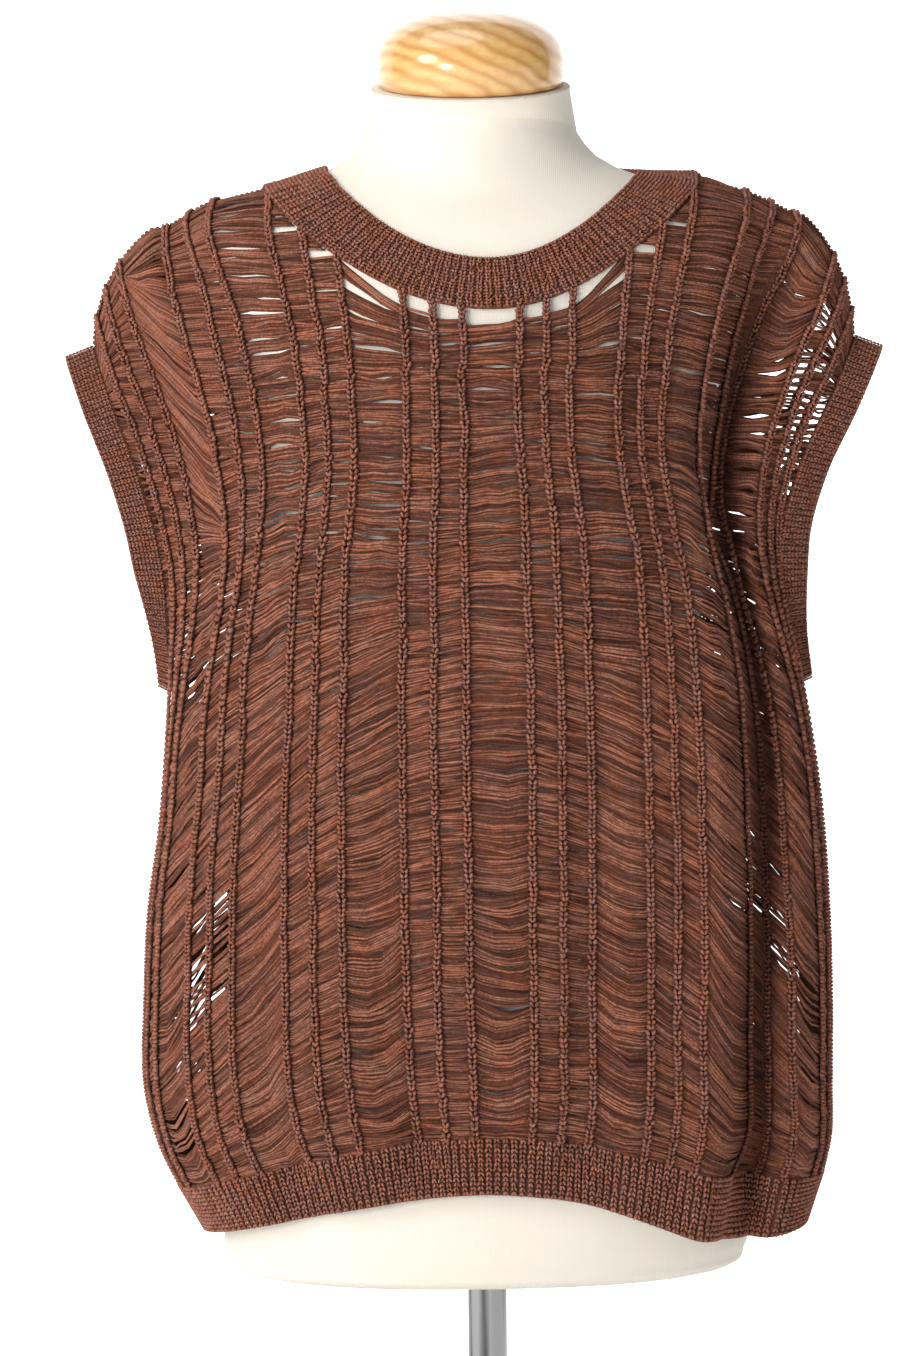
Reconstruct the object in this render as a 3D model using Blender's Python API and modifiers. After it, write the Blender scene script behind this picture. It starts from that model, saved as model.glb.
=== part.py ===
"""Knitted sweater vest on a table-top dress form.

Metres, +Z up, +X to the left hand of someone wearing the vest, and the front of the vest at -Y.
The origin is the middle of the base's flat underside.
"""

import math

import bmesh
import bpy
import numpy as np
from mathutils import Matrix

# ---- driving sizes ---------------------------------------------------------------------------
WALL = 0.0020               # thickness of the knit
SEAM = 0.0003               # gap between two pieces that are sewn together
CORNER_SEAM = 0.0006        # the same for the armbands and the hem, which turn corners
NECK_SEAM = 0.0012          # and for the neckband, which steps past the chain columns' ends
SEAT = 0.0003               # gap between hard pieces that touch
REST = 0.0069               # least distance from the form to the middle of the cloth

BASE_RADIUS = 0.145
BASE_THICKNESS = 0.012
BASE_EDGE = 0.004           # rounding of the base's upper edge
COLLAR_RADIUS = 0.021
COLLAR_HEIGHT = 0.024       # above the base's top
POLE_RADIUS = 0.0125
FORM_FOOT = 0.210           # height of the form's flat underside

NECK_CENTRE_Y = -0.020      # middle of the neck's tilted top
NECK_TOP = 0.960
NECK_RADIUS = 0.0625
NECK_TILT = math.radians(18)
CAP_RADIUS = 0.0595
CAP_SIDE = 0.016            # height of the cap's upright side
CAP_DOME = 0.031            # rise of its dome
CAP_STEPS = 8

GROUPS = 8                  # groups of chain columns across a panel
CHAINS_IN_GROUP = 3
PANEL_WIDTH = 0.584
CHAIN_PITCH = 0.0182        # between the columns of one group
CHAIN_HALF = 0.0026         # half the width of one column
CHAIN_RAISE = 0.0011

NECK_MIDDLE_X = 0.010       # the panels' middle line lies a little to one side
NECK_HALF_SHARE = 0.455     # half the width of the neckline as a share of half a panel
NECK_INNER_SHARE = 0.325    # the same at the free edge of the neckband
FRONT_NECK_DROP = 0.237     # depth of the neckline as a share of the panel's length
FRONT_INNER_DROP = 0.185
BACK_NECK_DROP = 0.150
BACK_INNER_DROP = 0.105
UNDERARM = 0.56             # where the armhole starts, as a share of the panel's length

NECK_RIBS = 88
HEM_RIBS = 116
ARM_RIBS = 44
RIB_RAISE = 0.0010
HEM_HEIGHT = 0.035
HEM_DRAW_IN = (0.92, 0.955)  # lower edge of the hem over its upper edge, at -X and at +X
HEM_DRAW_IN_DEPTH = 0.955   # the same from front to back
HEM_SIDE_LIFT = 0.009       # the rib is this much lower in height at the sides
CORNER_X = 0.155            # the front hangs lower round this place
CORNER_HALF = 0.070
CORNER_DROP = 0.011         # at its upper edge
CORNER_LONGER = 0.009       # and so much longer is the rib there
CORNER_FADE = 0.30          # share of the panel's length over which this dies out
HEM_CLEAR = 0.008           # least distance from the form to the hem's edge
ARMBAND_WIDTH = 0.020
ARMBAND_LEAN_LOW = 62       # degrees from upright at the underarm
ARMBAND_LEAN_HIGH = 112     # and at the shoulder's end
ARMBAND_CLOSE = 14.0        # how strongly both halves lean towards each other

SHOULDER_FLAT = {-1: 3.8, 1: 5.2}  # how long the shoulders stay level before they drop, by hand
FOLD_FADE = 0.08            # folds die out over this share of half a panel at a side edge

SURFACE_ROWS = 181          # rows and places of the fine table that the pieces are read from
SURFACE_PLACES = 321

# heights of the rows of points up a panel, as shares of its length
ROWS = (0, 0.06, 0.20, 0.38, 0.555, 0.605, 0.69, 0.78, 0.865, 0.935, 0.978, 1)

# the form: height, half width, reach to the front, reach to the back, squareness
FORM_RINGS = (
    (0.2100, 0.1480, 0.0880, 0.0860, 2.30),
    (0.2125, 0.1570, 0.0970, 0.0950, 2.30),
    (0.2220, 0.1645, 0.1050, 0.1040, 2.30),
    (0.2400, 0.1680, 0.1100, 0.1090, 2.30),
    (0.2900, 0.1690, 0.1120, 0.1130, 2.30),
    (0.3500, 0.1650, 0.1100, 0.1120, 2.30),
    (0.4200, 0.1500, 0.1020, 0.1020, 2.30),
    (0.5000, 0.1340, 0.0950, 0.0880, 2.20),
    (0.5600, 0.1330, 0.0970, 0.0860, 2.20),
    (0.6300, 0.1430, 0.1070, 0.0920, 2.20),
    (0.6900, 0.1520, 0.1150, 0.0980, 2.30),
    (0.7400, 0.1580, 0.1150, 0.1020, 2.30),
    (0.7900, 0.1680, 0.1050, 0.1040, 2.30),
    (0.8300, 0.1800, 0.0930, 0.1010, 2.40),
    (0.8550, 0.1860, 0.0850, 0.0940, 2.30),
    (0.8700, 0.1850, 0.0790, 0.0880, 2.10),
    (0.8790, 0.1790, 0.0740, 0.0830, 1.90),
    (0.8855, 0.1680, 0.0710, 0.0790, 1.75),
    (0.8915, 0.1520, 0.0700, 0.0770, 1.60),
    (0.8980, 0.1280, 0.0695, 0.0755, 1.50),
    (0.9055, 0.1030, 0.0690, 0.0740, 1.60),
    (0.9160, 0.0815, 0.0685, 0.0720, 1.80),
    (0.9240, 0.0735, 0.0680, 0.0690, 1.95),
    (0.9320, 0.0680, 0.0670, 0.0660, 2.00),
)
FORM_SIDES = 28
NECK_RINGS = 4              # rings between the last one above and the tilted top of the neck

# the middle of each panel: share of its length, height, reach from the pole's axis
FRONT_MIDDLE = (
    (0.000, 0.3085, 0.1290),
    (0.035, 0.3320, 0.1370),
    (0.160, 0.4180, 0.1390),
    (0.350, 0.5440, 0.1370),
    (0.495, 0.6390, 0.1360),
    (0.600, 0.7090, 0.1330),
    (0.688, 0.7650, 0.1220),
    (0.763, 0.8120, 0.1070),
    (0.822, 0.8470, 0.0920),
    (0.873, 0.8720, 0.0720),
    (0.922, 0.8920, 0.0480),
    (0.965, 0.9050, 0.0230),
    (1.000, 0.9100, 0.0000),
)
BACK_MIDDLE = (
    (0.000, 0.2920, 0.1310),
    (0.040, 0.3180, 0.1370),
    (0.150, 0.3950, 0.1370),
    (0.310, 0.5150, 0.1310),
    (0.450, 0.6180, 0.1270),
    (0.590, 0.7180, 0.1300),
    (0.690, 0.7880, 0.1280),
    (0.780, 0.8500, 0.1180),
    (0.845, 0.8920, 0.1010),
    (0.890, 0.9120, 0.0790),
    (0.940, 0.9160, 0.0460),
    (1.000, 0.9100, 0.0000),
)

# the side edges of both panels: share of the length, height, half width
RIGHT_HAND_EDGE = (         # at -X
    (0.00, 0.266, 0.1935),
    (0.05, 0.289, 0.2045),
    (0.12, 0.322, 0.2135),
    (0.25, 0.390, 0.2135),
    (0.35, 0.440, 0.2105),
    (0.45, 0.500, 0.2020),
    (0.56, 0.580, 0.1965),
    (0.62, 0.618, 0.1970),
    (0.72, 0.668, 0.2015),
    (0.82, 0.716, 0.2140),
    (0.92, 0.763, 0.2310),
    (1.00, 0.800, 0.2430),
)
LEFT_HAND_EDGE = (          # at +X
    (0.00, 0.269, 0.2130),
    (0.05, 0.291, 0.2180),
    (0.12, 0.322, 0.2190),
    (0.25, 0.390, 0.2200),
    (0.35, 0.440, 0.2190),
    (0.45, 0.500, 0.2155),
    (0.56, 0.580, 0.2050),
    (0.62, 0.618, 0.1985),
    (0.72, 0.668, 0.1965),
    (0.82, 0.716, 0.2090),
    (0.92, 0.763, 0.2300),
    (1.00, 0.800, 0.2430),
)
# the armholes: side (-1 front, 1 back) and hand (-1 for -X), then how far the edge stands from
# the side seam, and how far it is drawn in
ARMHOLES = {
    (-1, -1): (0.030, 0.000),
    (-1, 1): (0.040, 0.005),
    (1, -1): (0.030, 0.000),
    (1, 1): (0.030, 0.000),
}

# upright folds: side (-1 front, 1 back), place across the panel at the hem and at the top, first
# and last share of the length, half width as a share of half a panel, depth inwards
FOLDS = (
    (-1, 0.590, 0.680, -0.20, 1.00, 0.064, 0.036),
    (-1, 0.470, 0.530, -0.20, 0.80, 0.060, -0.008),
    (-1, -0.600, -0.820, 0.55, 1.00, 0.060, 0.012),
    (-1, -0.475, -0.430, -0.20, 0.60, 0.055, 0.006),
    (-1, -0.185, -0.215, -0.20, 0.62, 0.055, 0.006),
    (-1, 0.180, 0.215, -0.20, 0.55, 0.060, 0.006),
    (1, -0.620, -0.690, -0.20, 0.95, 0.064, 0.030),
    (1, 0.550, 0.650, -0.20, 0.95, 0.064, 0.024),
    (1, 0.000, 0.030, -0.20, 0.60, 0.080, 0.012),
    (1, -0.285, -0.240, -0.20, 0.55, 0.065, 0.008),
    (1, 0.265, 0.250, -0.20, 0.50, 0.065, 0.009),
)

COLOURS = {                 # linear red, green, blue, then roughness and metallic
    "knit": (0.165, 0.062, 0.040, 0.85, 0.0),
    "rib": (0.140, 0.054, 0.038, 0.88, 0.0),
    "jersey": (0.86, 0.80, 0.69, 0.80, 0.0),
    "pine": (0.74, 0.45, 0.17, 0.25, 0.0),
    "chrome": (0.75, 0.75, 0.76, 0.12, 1.0),
    "steel": (0.80, 0.80, 0.80, 0.35, 0.6),
}


# ---- small tools -----------------------------------------------------------------------------
def column(table, number, at):
    """A smooth curve through one column of a table, read at a place or at many."""
    places = np.array([row[0] for row in table])
    values = np.array([row[number] for row in table])
    slopes = np.gradient(values, places)
    at = np.clip(np.asarray(at, dtype=float), places[0], places[-1])
    cell = np.clip(np.searchsorted(places, at, side="right") - 1, 0, len(places) - 2)
    step = places[cell + 1] - places[cell]
    t = (at - places[cell]) / step
    rise = values[cell] * (2 * t**3 - 3 * t**2 + 1) + values[cell + 1] * (3 * t**2 - 2 * t**3)
    bend = slopes[cell] * (t**3 - 2 * t**2 + t) + slopes[cell + 1] * (t**3 - t**2)
    return rise + bend * step


def soft_step(at, low, high):
    t = np.clip((at - low) / (high - low), 0, 1)
    return t * t * (3 - 2 * t)


def unit(vectors):
    return vectors / np.linalg.norm(vectors, axis=-1, keepdims=True)


def evenly(points, shares):
    """Points at the given shares of a polyline's length."""
    steps = np.linalg.norm(np.diff(points, axis=0), axis=1)
    run = np.concatenate(([0], np.cumsum(steps)))
    at = np.asarray(shares) * run[-1]
    return np.stack([np.interp(at, run, points[:, k]) for k in range(3)], axis=1)


# ---- scene and objects -----------------------------------------------------------------------
def clear_scene():
    for thing in list(bpy.data.objects):
        bpy.data.objects.remove(thing)


def make_material(name):
    red, green, blue, roughness, metallic = COLOURS[name]
    material = bpy.data.materials.new(name)
    material.use_nodes = True
    shader = material.node_tree.nodes["Principled BSDF"]
    shader.inputs["Base Color"].default_value = (red, green, blue, 1)
    shader.inputs["Roughness"].default_value = roughness
    shader.inputs["Metallic"].default_value = metallic
    return material


def add_object(name, mesh, material, collection):
    thing = bpy.data.objects.new(name, mesh)
    mesh.materials.append(material)
    collection.objects.link(thing)
    return thing


def mesh_from(name, points, faces):
    mesh = bpy.data.meshes.new(name)
    mesh.from_pydata([tuple(p) for p in points], [], faces)
    shape = bmesh.new()
    shape.from_mesh(mesh)
    if shape.calc_volume(signed=True) < 0:
        bmesh.ops.reverse_faces(shape, faces=shape.faces)
    shape.to_mesh(mesh)
    shape.free()
    mesh.shade_smooth()
    mesh.set_sharp_from_angle(angle=math.radians(50))
    return mesh


def turned(name, profile, material, collection, steps=48):
    """A turned piece from its profile of radius and height, top to bottom."""
    mesh = bpy.data.meshes.new(name)
    edges = [(k, k + 1) for k in range(len(profile) - 1)]
    mesh.from_pydata([(radius, 0, height) for radius, height in profile], edges, [])
    thing = add_object(name, mesh, material, collection)
    screw = thing.modifiers.new("turn", "SCREW")
    screw.steps = steps
    screw.render_steps = steps
    screw.use_merge_vertices = True
    screw.merge_threshold = 0.00001
    return thing


# ---- the dress form --------------------------------------------------------------------------
def form_ring(height):
    return [column(FORM_RINGS, k, height) for k in (1, 2, 3, 4)]


def form_points(angle, height):
    """Points of the form at angles round it (0 at +X), for one height."""
    half, front, back, square = form_ring(height)
    reach = np.where(np.sin(angle) < 0, front, back)
    x = half * np.sign(np.cos(angle)) * np.abs(np.cos(angle)) ** (2 / square)
    y = reach * np.sign(np.sin(angle)) * np.abs(np.sin(angle)) ** (2 / square)
    return np.stack([x, y, np.full_like(x, height)], axis=-1)


def outside_form(points):
    """How far points lie outside the form, with a minus sign inside, and the way out."""
    def level(p):
        half, front, back, square = form_ring(p[..., 2])
        reach = np.where(p[..., 1] < 0, front, back)
        total = (np.abs(p[..., 0]) / half) ** square + (np.abs(p[..., 1]) / reach) ** square
        return total ** (1 / square) - 1

    nudge = 0.0002
    slope = np.stack(
        [(level(points + nudge * axis) - level(points - nudge * axis)) / (2 * nudge) for axis in np.eye(3)],
        axis=-1,
    )
    size = np.maximum(np.linalg.norm(slope, axis=-1, keepdims=True), 1e-6)
    return level(points) / size[..., 0], slope / size


def lifted(points, distance):
    """Cloth points, moved out where they would lie nearer to the form than a distance."""
    for _ in range(5):
        gap, way = outside_form(points)
        short = np.clip(distance - gap, 0, 0.02)
        points = points + way * short[..., None]
    return points


def make_form(material, collection):
    angles = np.linspace(0, 2 * math.pi, FORM_SIDES, endpoint=False)
    heights = [row[0] for row in FORM_RINGS]
    rings = [form_points(angles, height) for height in heights]
    last = rings[-1]
    tilt = Matrix.Rotation(NECK_TILT, 3, "X")
    flat = np.stack([NECK_RADIUS * np.cos(angles), NECK_RADIUS * np.sin(angles), 0 * angles], axis=1)
    top = flat @ np.array(tilt).T + np.array([0, NECK_CENTRE_Y, NECK_TOP])
    for k in range(1, NECK_RINGS + 1):
        share = k / NECK_RINGS
        rings.append(last * (1 - share) + top * share)
    points = np.concatenate(rings)
    sides = range(FORM_SIDES)
    faces = [tuple(reversed(sides))]
    for ring in range(len(rings) - 1):
        for side in sides:
            a = ring * FORM_SIDES + side
            b = ring * FORM_SIDES + (side + 1) % FORM_SIDES
            faces.append((a, b, b + FORM_SIDES, a + FORM_SIDES))
    faces.append(tuple(len(points) - FORM_SIDES + side for side in sides))
    return add_object("form_body", mesh_from("form_body", points, faces), material, collection)


def make_cap(material, collection):
    dome = [(0, CAP_SIDE + CAP_DOME)]
    for step in range(CAP_STEPS - 1, -1, -1):
        rise = step / CAP_STEPS * math.pi / 2
        dome.append((CAP_RADIUS * math.cos(rise) ** 0.8, CAP_SIDE + CAP_DOME * math.sin(rise)))
    foot = [(CAP_RADIUS, 0.004), (CAP_RADIUS - 0.0012, 0.0012), (CAP_RADIUS - 0.004, 0), (0, 0)]
    cap = turned("neck_cap", dome + foot, material, collection, 32)
    cap.rotation_euler = (NECK_TILT, 0, 0)
    up = Matrix.Rotation(NECK_TILT, 3, "X") @ Matrix.Identity(3).col[2]
    cap.location = (0, NECK_CENTRE_Y + up.y * SEAT, NECK_TOP + up.z * SEAT)
    return cap


def make_pole(material, collection):
    low = BASE_THICKNESS + SEAT
    high = FORM_FOOT - SEAT
    profile = [(0, high), (POLE_RADIUS, high), (POLE_RADIUS, low), (0, low)]
    return turned("pole", profile, material, collection, 24)


def make_base(material, collection):
    """A weighted disc and the collar on it, bored for the pole."""
    top = BASE_THICKNESS + COLLAR_HEIGHT
    bore = POLE_RADIUS + SEAT
    profile = [
        (0, BASE_THICKNESS),
        (bore, BASE_THICKNESS),
        (bore, top),
        (COLLAR_RADIUS - 0.002, top),
        (COLLAR_RADIUS, top - 0.002),
        (COLLAR_RADIUS + 0.001, BASE_THICKNESS + 0.002),
        (COLLAR_RADIUS + 0.004, BASE_THICKNESS),
        (BASE_RADIUS - BASE_EDGE, BASE_THICKNESS - 0.001),
        (BASE_RADIUS - 0.001, BASE_THICKNESS - BASE_EDGE),
        (BASE_RADIUS, BASE_THICKNESS - BASE_EDGE - 0.003),
        (BASE_RADIUS, 0),
        (0, 0),
    ]
    return turned("base", profile, material, collection, 36)


# ---- the cloth as a surface ------------------------------------------------------------------
def folded(side, points, across, share):
    """Soft upright troughs and ridges, added to the points at places across one row."""
    shift = np.zeros_like(across)
    for fold_side, at_hem, at_top, low, high, half, depth in FOLDS:
        if fold_side != side:
            continue
        middle = at_hem + (at_top - at_hem) * soft_step(share, 0.0, 1.0)
        strength = soft_step(share, low, low + 0.2) * (1 - soft_step(share, high - 0.25, high))
        shift += depth * strength * np.exp(-(((across - middle) / half) ** 2))
    moved = points.copy()
    moved[:, 1] -= side * shift * soft_step(1 - np.abs(across), 0, FOLD_FADE)
    return moved


def hem_corner(x):
    """How much of the front's lower corner there is at a place, from 0 to 1."""
    return np.exp(-(((x - CORNER_X) / CORNER_HALF) ** 2))


def row_of_cloth(side, share):
    """One row of a panel as a dense line from its -X edge to its +X edge."""
    middle = FRONT_MIDDLE if side < 0 else BACK_MIDDLE
    height = column(middle, 1, share)
    reach = column(middle, 2, share)
    rise = np.clip((share - UNDERARM) / (1 - UNDERARM), 0, 1)
    square = 2.35 - 0.35 * soft_step(share, 0.6, 0.95)
    openness = soft_step(share, UNDERARM - 0.08, UNDERARM + 0.10)
    drop = 1.0 + 1.0 * soft_step(share, 0.45, 0.95)
    angle = np.linspace(0, math.pi / 2, 160)
    halves = []
    for table, sign in ((RIGHT_HAND_EDGE, -1), (LEFT_HAND_EDGE, 1)):
        reach_out, tuck = ARMHOLES[side, sign]
        flat = 1.7 + (SHOULDER_FLAT[sign] - 1.7) * soft_step(share, 0.45, 0.95)
        edge_height = column(table, 1, share)
        edge_x = column(table, 2, share) - tuck * math.sin(math.pi * rise)
        edge_y = side * reach_out * math.sin(math.pi * rise) ** 0.6
        across = np.sin(angle) ** (2 / square)
        rounded = np.cos(angle) ** (2 / square)
        rounded[-1] = 0
        straight = 1 - across**2.5
        out = rounded * (1 - openness) + straight * openness
        x = sign * edge_x * across
        y = edge_y + (side * reach - edge_y) * out
        z = edge_height + (height - edge_height) * (1 - across**flat) ** (1 / drop)
        if side < 0:
            z = z - CORNER_DROP * hem_corner(x) * (1 - across**6) * (1 - soft_step(share, 0, CORNER_FADE))
        halves.append(np.stack([x, y, z], axis=1))
    return np.concatenate([halves[0][::-1], halves[1][1:]])


def cloth_row(side, share, across):
    """Points of a panel's middle surface at places from -1 to 1 across it, on one row."""
    line = row_of_cloth(side, share)
    split = int(np.argmin(np.abs(line[:, 0] - NECK_MIDDLE_X)))
    first = evenly(line[: split + 1], np.clip(1 + across, 0, 1))
    second = evenly(line[split:], np.clip(across, 0, 1))
    smooth = np.where((across < 0)[:, None], first, second)
    return lifted(folded(side, smooth, across, share), REST)


def cloth_surface(side):
    """A panel's middle surface as a fine table of points, rows by places across."""
    across = np.linspace(-1, 1, SURFACE_PLACES)
    return np.array([cloth_row(side, share, across) for share in np.linspace(0, 1, SURFACE_ROWS)])


def neckline(side, across, inner=False):
    """The share of a panel's length at which the neckline lies."""
    if side < 0:
        depth = FRONT_INNER_DROP if inner else FRONT_NECK_DROP
    else:
        depth = BACK_INNER_DROP if inner else BACK_NECK_DROP
    half = NECK_INNER_SHARE if inner else NECK_HALF_SHARE
    inside = np.clip(1 - (across / half) ** 2, 0, 1)
    return 1 - depth * np.sqrt(inside)


def on_cloth(surface, across, share):
    """Points of a surface at places across and shares of its length."""
    down = np.clip(share, 0, 1) * (SURFACE_ROWS - 1)
    over = (np.clip(across, -1, 1) + 1) / 2 * (SURFACE_PLACES - 1)
    row = np.clip(down.astype(int), 0, SURFACE_ROWS - 2)
    place = np.clip(over.astype(int), 0, SURFACE_PLACES - 2)
    s = (down - row)[..., None]
    t = (over - place)[..., None]
    low = surface[row, place] * (1 - t) + surface[row, place + 1] * t
    high = surface[row + 1, place] * (1 - t) + surface[row + 1, place + 1] * t
    return low * (1 - s) + high * s


def chain_places():
    """Columns of points across a panel, and how far each is raised."""
    half = PANEL_WIDTH / 2
    places = {-1.0: 0.0, 1.0: 0.0}
    for group in range(GROUPS):
        centre = (2 * group + 1) / GROUPS - 1
        for chain in range(CHAINS_IN_GROUP):
            place = centre + (chain - 1) * CHAIN_PITCH / half
            places[place] = CHAIN_RAISE
            places[place - CHAIN_HALF / half] = 0.0
            places[place + CHAIN_HALF / half] = 0.0
        if group:
            middle = 2 * group / GROUPS - 1
            at_neck = abs(abs(middle) - 0.5) < 0.01
            places[math.copysign(NECK_HALF_SHARE, middle) if at_neck else middle] = 0.0
    across = np.array(sorted(places))
    raised = np.array([places[place] for place in sorted(places)])
    return across, raised


def panel_points(side, surface):
    """A grid of points on a panel, its rows crowded under the neckline."""
    across, _ = chain_places()
    shares = np.outer(ROWS, neckline(side, across))
    return on_cloth(surface, np.tile(across, (len(ROWS), 1)), shares)


def grid_normals(side, grid):
    """Normals of a grid, pointing away from the wearer."""
    along = np.gradient(grid, axis=1)
    up = np.gradient(grid, axis=0)
    return unit(np.cross(along, up)) * -side


def share_seams(across, front_normals, back_normals):
    """The sewn edges of front and back take one normal, so that their rims face each other."""
    shared = unit(front_normals + back_normals)
    shoulder = np.abs(across) >= NECK_HALF_SHARE
    sides = np.array(ROWS) <= UNDERARM
    for normals in (front_normals, back_normals):
        normals[-1, shoulder] = shared[-1, shoulder]
        normals[sides, 0] = shared[sides, 0]
        normals[sides, -1] = shared[sides, -1]


def pulled_in(grid, normals, gap):
    """The grid with its border moved in by a gap, square to each edge."""
    small = grid.copy()
    for border, inside in (
        (np.s_[0], np.s_[1]),
        (np.s_[-1], np.s_[-2]),
        (np.s_[:, 0], np.s_[:, 1]),
        (np.s_[:, -1], np.s_[:, -2]),
    ):
        along = np.gradient(grid[border], axis=0)
        way = unit(np.cross(normals[border], along))
        way *= np.sign((way * (grid[inside] - grid[border])).sum(axis=-1, keepdims=True))
        small[border] += gap * way
    return small


def wall_faces(rows, places, present, closed):
    """Faces of a wall over a grid: its two sides, and its rim round every free edge."""
    last = places if closed else places - 1
    per_side = rows * places

    def corner(row, place, inner):
        return row * places + place % places + (per_side if inner else 0)

    def shown(row, place):
        if row < 0 or row >= rows - 1:
            return False
        if not closed and (place < 0 or place >= places - 1):
            return False
        return (row, place % places if closed else place) in present

    faces = []
    for row in range(rows - 1):
        for place in range(last):
            if not shown(row, place):
                continue
            a, b = (row, place), (row, place + 1)
            c, d = (row + 1, place + 1), (row + 1, place)
            faces.append(tuple(corner(*p, False) for p in (a, b, c, d)))
            faces.append(tuple(corner(*p, True) for p in (d, c, b, a)))
            for first, second, beside in (
                (a, b, (row - 1, place)),
                (b, c, (row, place + 1)),
                (c, d, (row + 1, place)),
                (d, a, (row, place - 1)),
            ):
                if not shown(*beside):
                    faces.append((corner(*first, True), corner(*second, True),
                                  corner(*second, False), corner(*first, False)))
    return faces


def wall_mesh(name, grid, normals, raised, present=None, closed=False):
    """A wall of the knit's thickness over a grid, raised outwards at given columns."""
    rows, places = grid.shape[:2]
    if present is None:
        present = {(row, place) for row in range(rows) for place in range(places)}
    outer = grid + normals * (WALL / 2 + raised)[..., None]
    inner = grid - normals * (WALL / 2)
    points = np.concatenate([outer.reshape(-1, 3), inner.reshape(-1, 3)])
    faces = wall_faces(rows, places, present, closed)
    used = sorted({index for face in faces for index in face})
    renumber = {old: new for new, old in enumerate(used)}
    faces = [tuple(renumber[index] for index in face) for face in faces]
    return mesh_from(name, points[used], faces)


def front_cells(rows, across, raised):
    """Cells of the front, without the gaps that open along the neckline between chain columns."""
    present = {(row, place) for row in range(rows - 1) for place in range(len(across) - 1)}
    for place in range(len(across) - 1):
        middle = (across[place] + across[place + 1]) / 2
        in_ladder = raised[place] == 0 and raised[place + 1] == 0
        beside_edge = place in (0, len(across) - 2)
        if in_ladder and not beside_edge and abs(middle) < NECK_HALF_SHARE:
            present.discard((rows - 2, place))
    return present


# ---- bands -----------------------------------------------------------------------------------
def ribs_along(count):
    """Shares round a closed band, and how far each place is raised."""
    shares = np.arange(2 * count) / (2 * count)
    raised = np.where(np.arange(2 * count) % 2 == 0, RIB_RAISE, 0.0)
    return shares, raised


def read_line(line, values, shares):
    """Read values that belong to a closed line's points at shares of its length."""
    steps = np.linalg.norm(np.diff(line, axis=0, append=line[:1]), axis=1)
    run = np.concatenate(([0], np.cumsum(steps)))
    around = np.concatenate([values, values[:1]])
    return np.stack([np.interp(np.asarray(shares) * run[-1], run, around[:, k]) for k in range(3)], axis=1)


def band(name, line, free, normals, ribs, gap, material, collection):
    """A ribbed strip between a closed seam line and a free edge."""
    shares, raised = ribs_along(ribs)
    seam = read_line(line, line, shares)
    edge = read_line(line, free, shares)
    out = unit(read_line(line, normals, shares))
    seam = seam + gap * unit(edge - seam)
    grid = np.stack([seam, edge])
    turn = np.gradient(np.concatenate([grid[:, -1:], grid, grid[:, :1]], axis=1), axis=1)[:, 1:-1]
    own = unit(np.cross(turn, np.stack([edge - seam] * 2)))
    own *= np.sign((own * out).sum(axis=-1, keepdims=True))
    both = np.stack([out, own[1]])
    mesh = wall_mesh(name, grid, both, np.stack([raised, raised]), closed=True)
    return add_object(name, mesh, material, collection)


def neckband_lines(surfaces, front, back, front_normals, back_normals):
    """The neckline as one closed line, with its free edge and its normals."""
    across, _ = chain_places()
    inside = np.nonzero(np.abs(across) < NECK_HALF_SHARE + 0.001)[0]
    lines, frees, outs = [], [], []
    for side, surface, grid, normals, places in (
        (-1, surfaces[0], front, front_normals, inside),
        (1, surfaces[1], back, back_normals, inside[-2:0:-1]),
    ):
        inner = across[places] * NECK_INNER_SHARE / NECK_HALF_SHARE
        lines.append(grid[-1, places])
        frees.append(on_cloth(surface, inner, neckline(side, inner, inner=True)))
        outs.append(normals[-1, places])
    return np.concatenate(lines), np.concatenate(frees), np.concatenate(outs)


def hem_lines(front, back, front_normals, back_normals):
    line = np.concatenate([front[0], back[0][::-1]])
    out = np.concatenate([front_normals[0], back_normals[0][::-1]])
    free = line * np.array([1, HEM_DRAW_IN_DEPTH, 1]) - np.array([0, 0, HEM_HEIGHT])
    free[:, 0] *= np.where(line[:, 0] < 0, *HEM_DRAW_IN)
    free[:, 2] += HEM_SIDE_LIFT * (line[:, 0] / line[:, 0].max()) ** 2
    free[:, 2] -= CORNER_LONGER * hem_corner(line[:, 0]) * soft_step(-line[:, 1], 0, 0.05)
    return line, lifted(free, HEM_CLEAR), out


def armband_lines(edge, front, back, front_normals, back_normals):
    """The armhole from the underarm up the front edge, over the shoulder and down the back edge."""
    sign = -1.0 if edge == 0 else 1.0
    first = sum(row <= UNDERARM for row in ROWS) - 1
    last = len(ROWS) - 1
    up = [(front, row) for row in range(first, last + 1)]
    down = [(back, row) for row in range(last - 1, first, -1)]
    line = np.array([grid[row, edge] for grid, row in up + down])
    rise = np.array([(ROWS[row] - ROWS[first]) / (1 - ROWS[first]) for _, row in up + down])
    turn = np.radians(ARMBAND_LEAN_LOW + (ARMBAND_LEAN_HIGH - ARMBAND_LEAN_LOW) * rise**0.5)
    lean = np.stack([sign * np.sin(turn), -ARMBAND_CLOSE * line[:, 1], np.cos(turn)], axis=1)
    width = ARMBAND_WIDTH * (0.45 + 0.55 * soft_step(rise, 0, 0.35))
    free = line + width[:, None] * unit(lean)
    around = np.gradient(np.concatenate([line[-1:], line, line[:1]]), axis=0)[1:-1]
    own = unit(np.cross(lean, around)) * sign
    out = []
    for number, (grid, row) in enumerate(up + down):
        normals = front_normals if grid is front else back_normals
        shared = unit(unit(normals[row, edge]) + own[number])
        normals[row, edge] = shared
        if row == last:
            back_normals[row, edge] = shared
        if row == first:
            back_normals[row, edge] = shared
        out.append(shared)
    return line, free, np.array(out)


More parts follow.
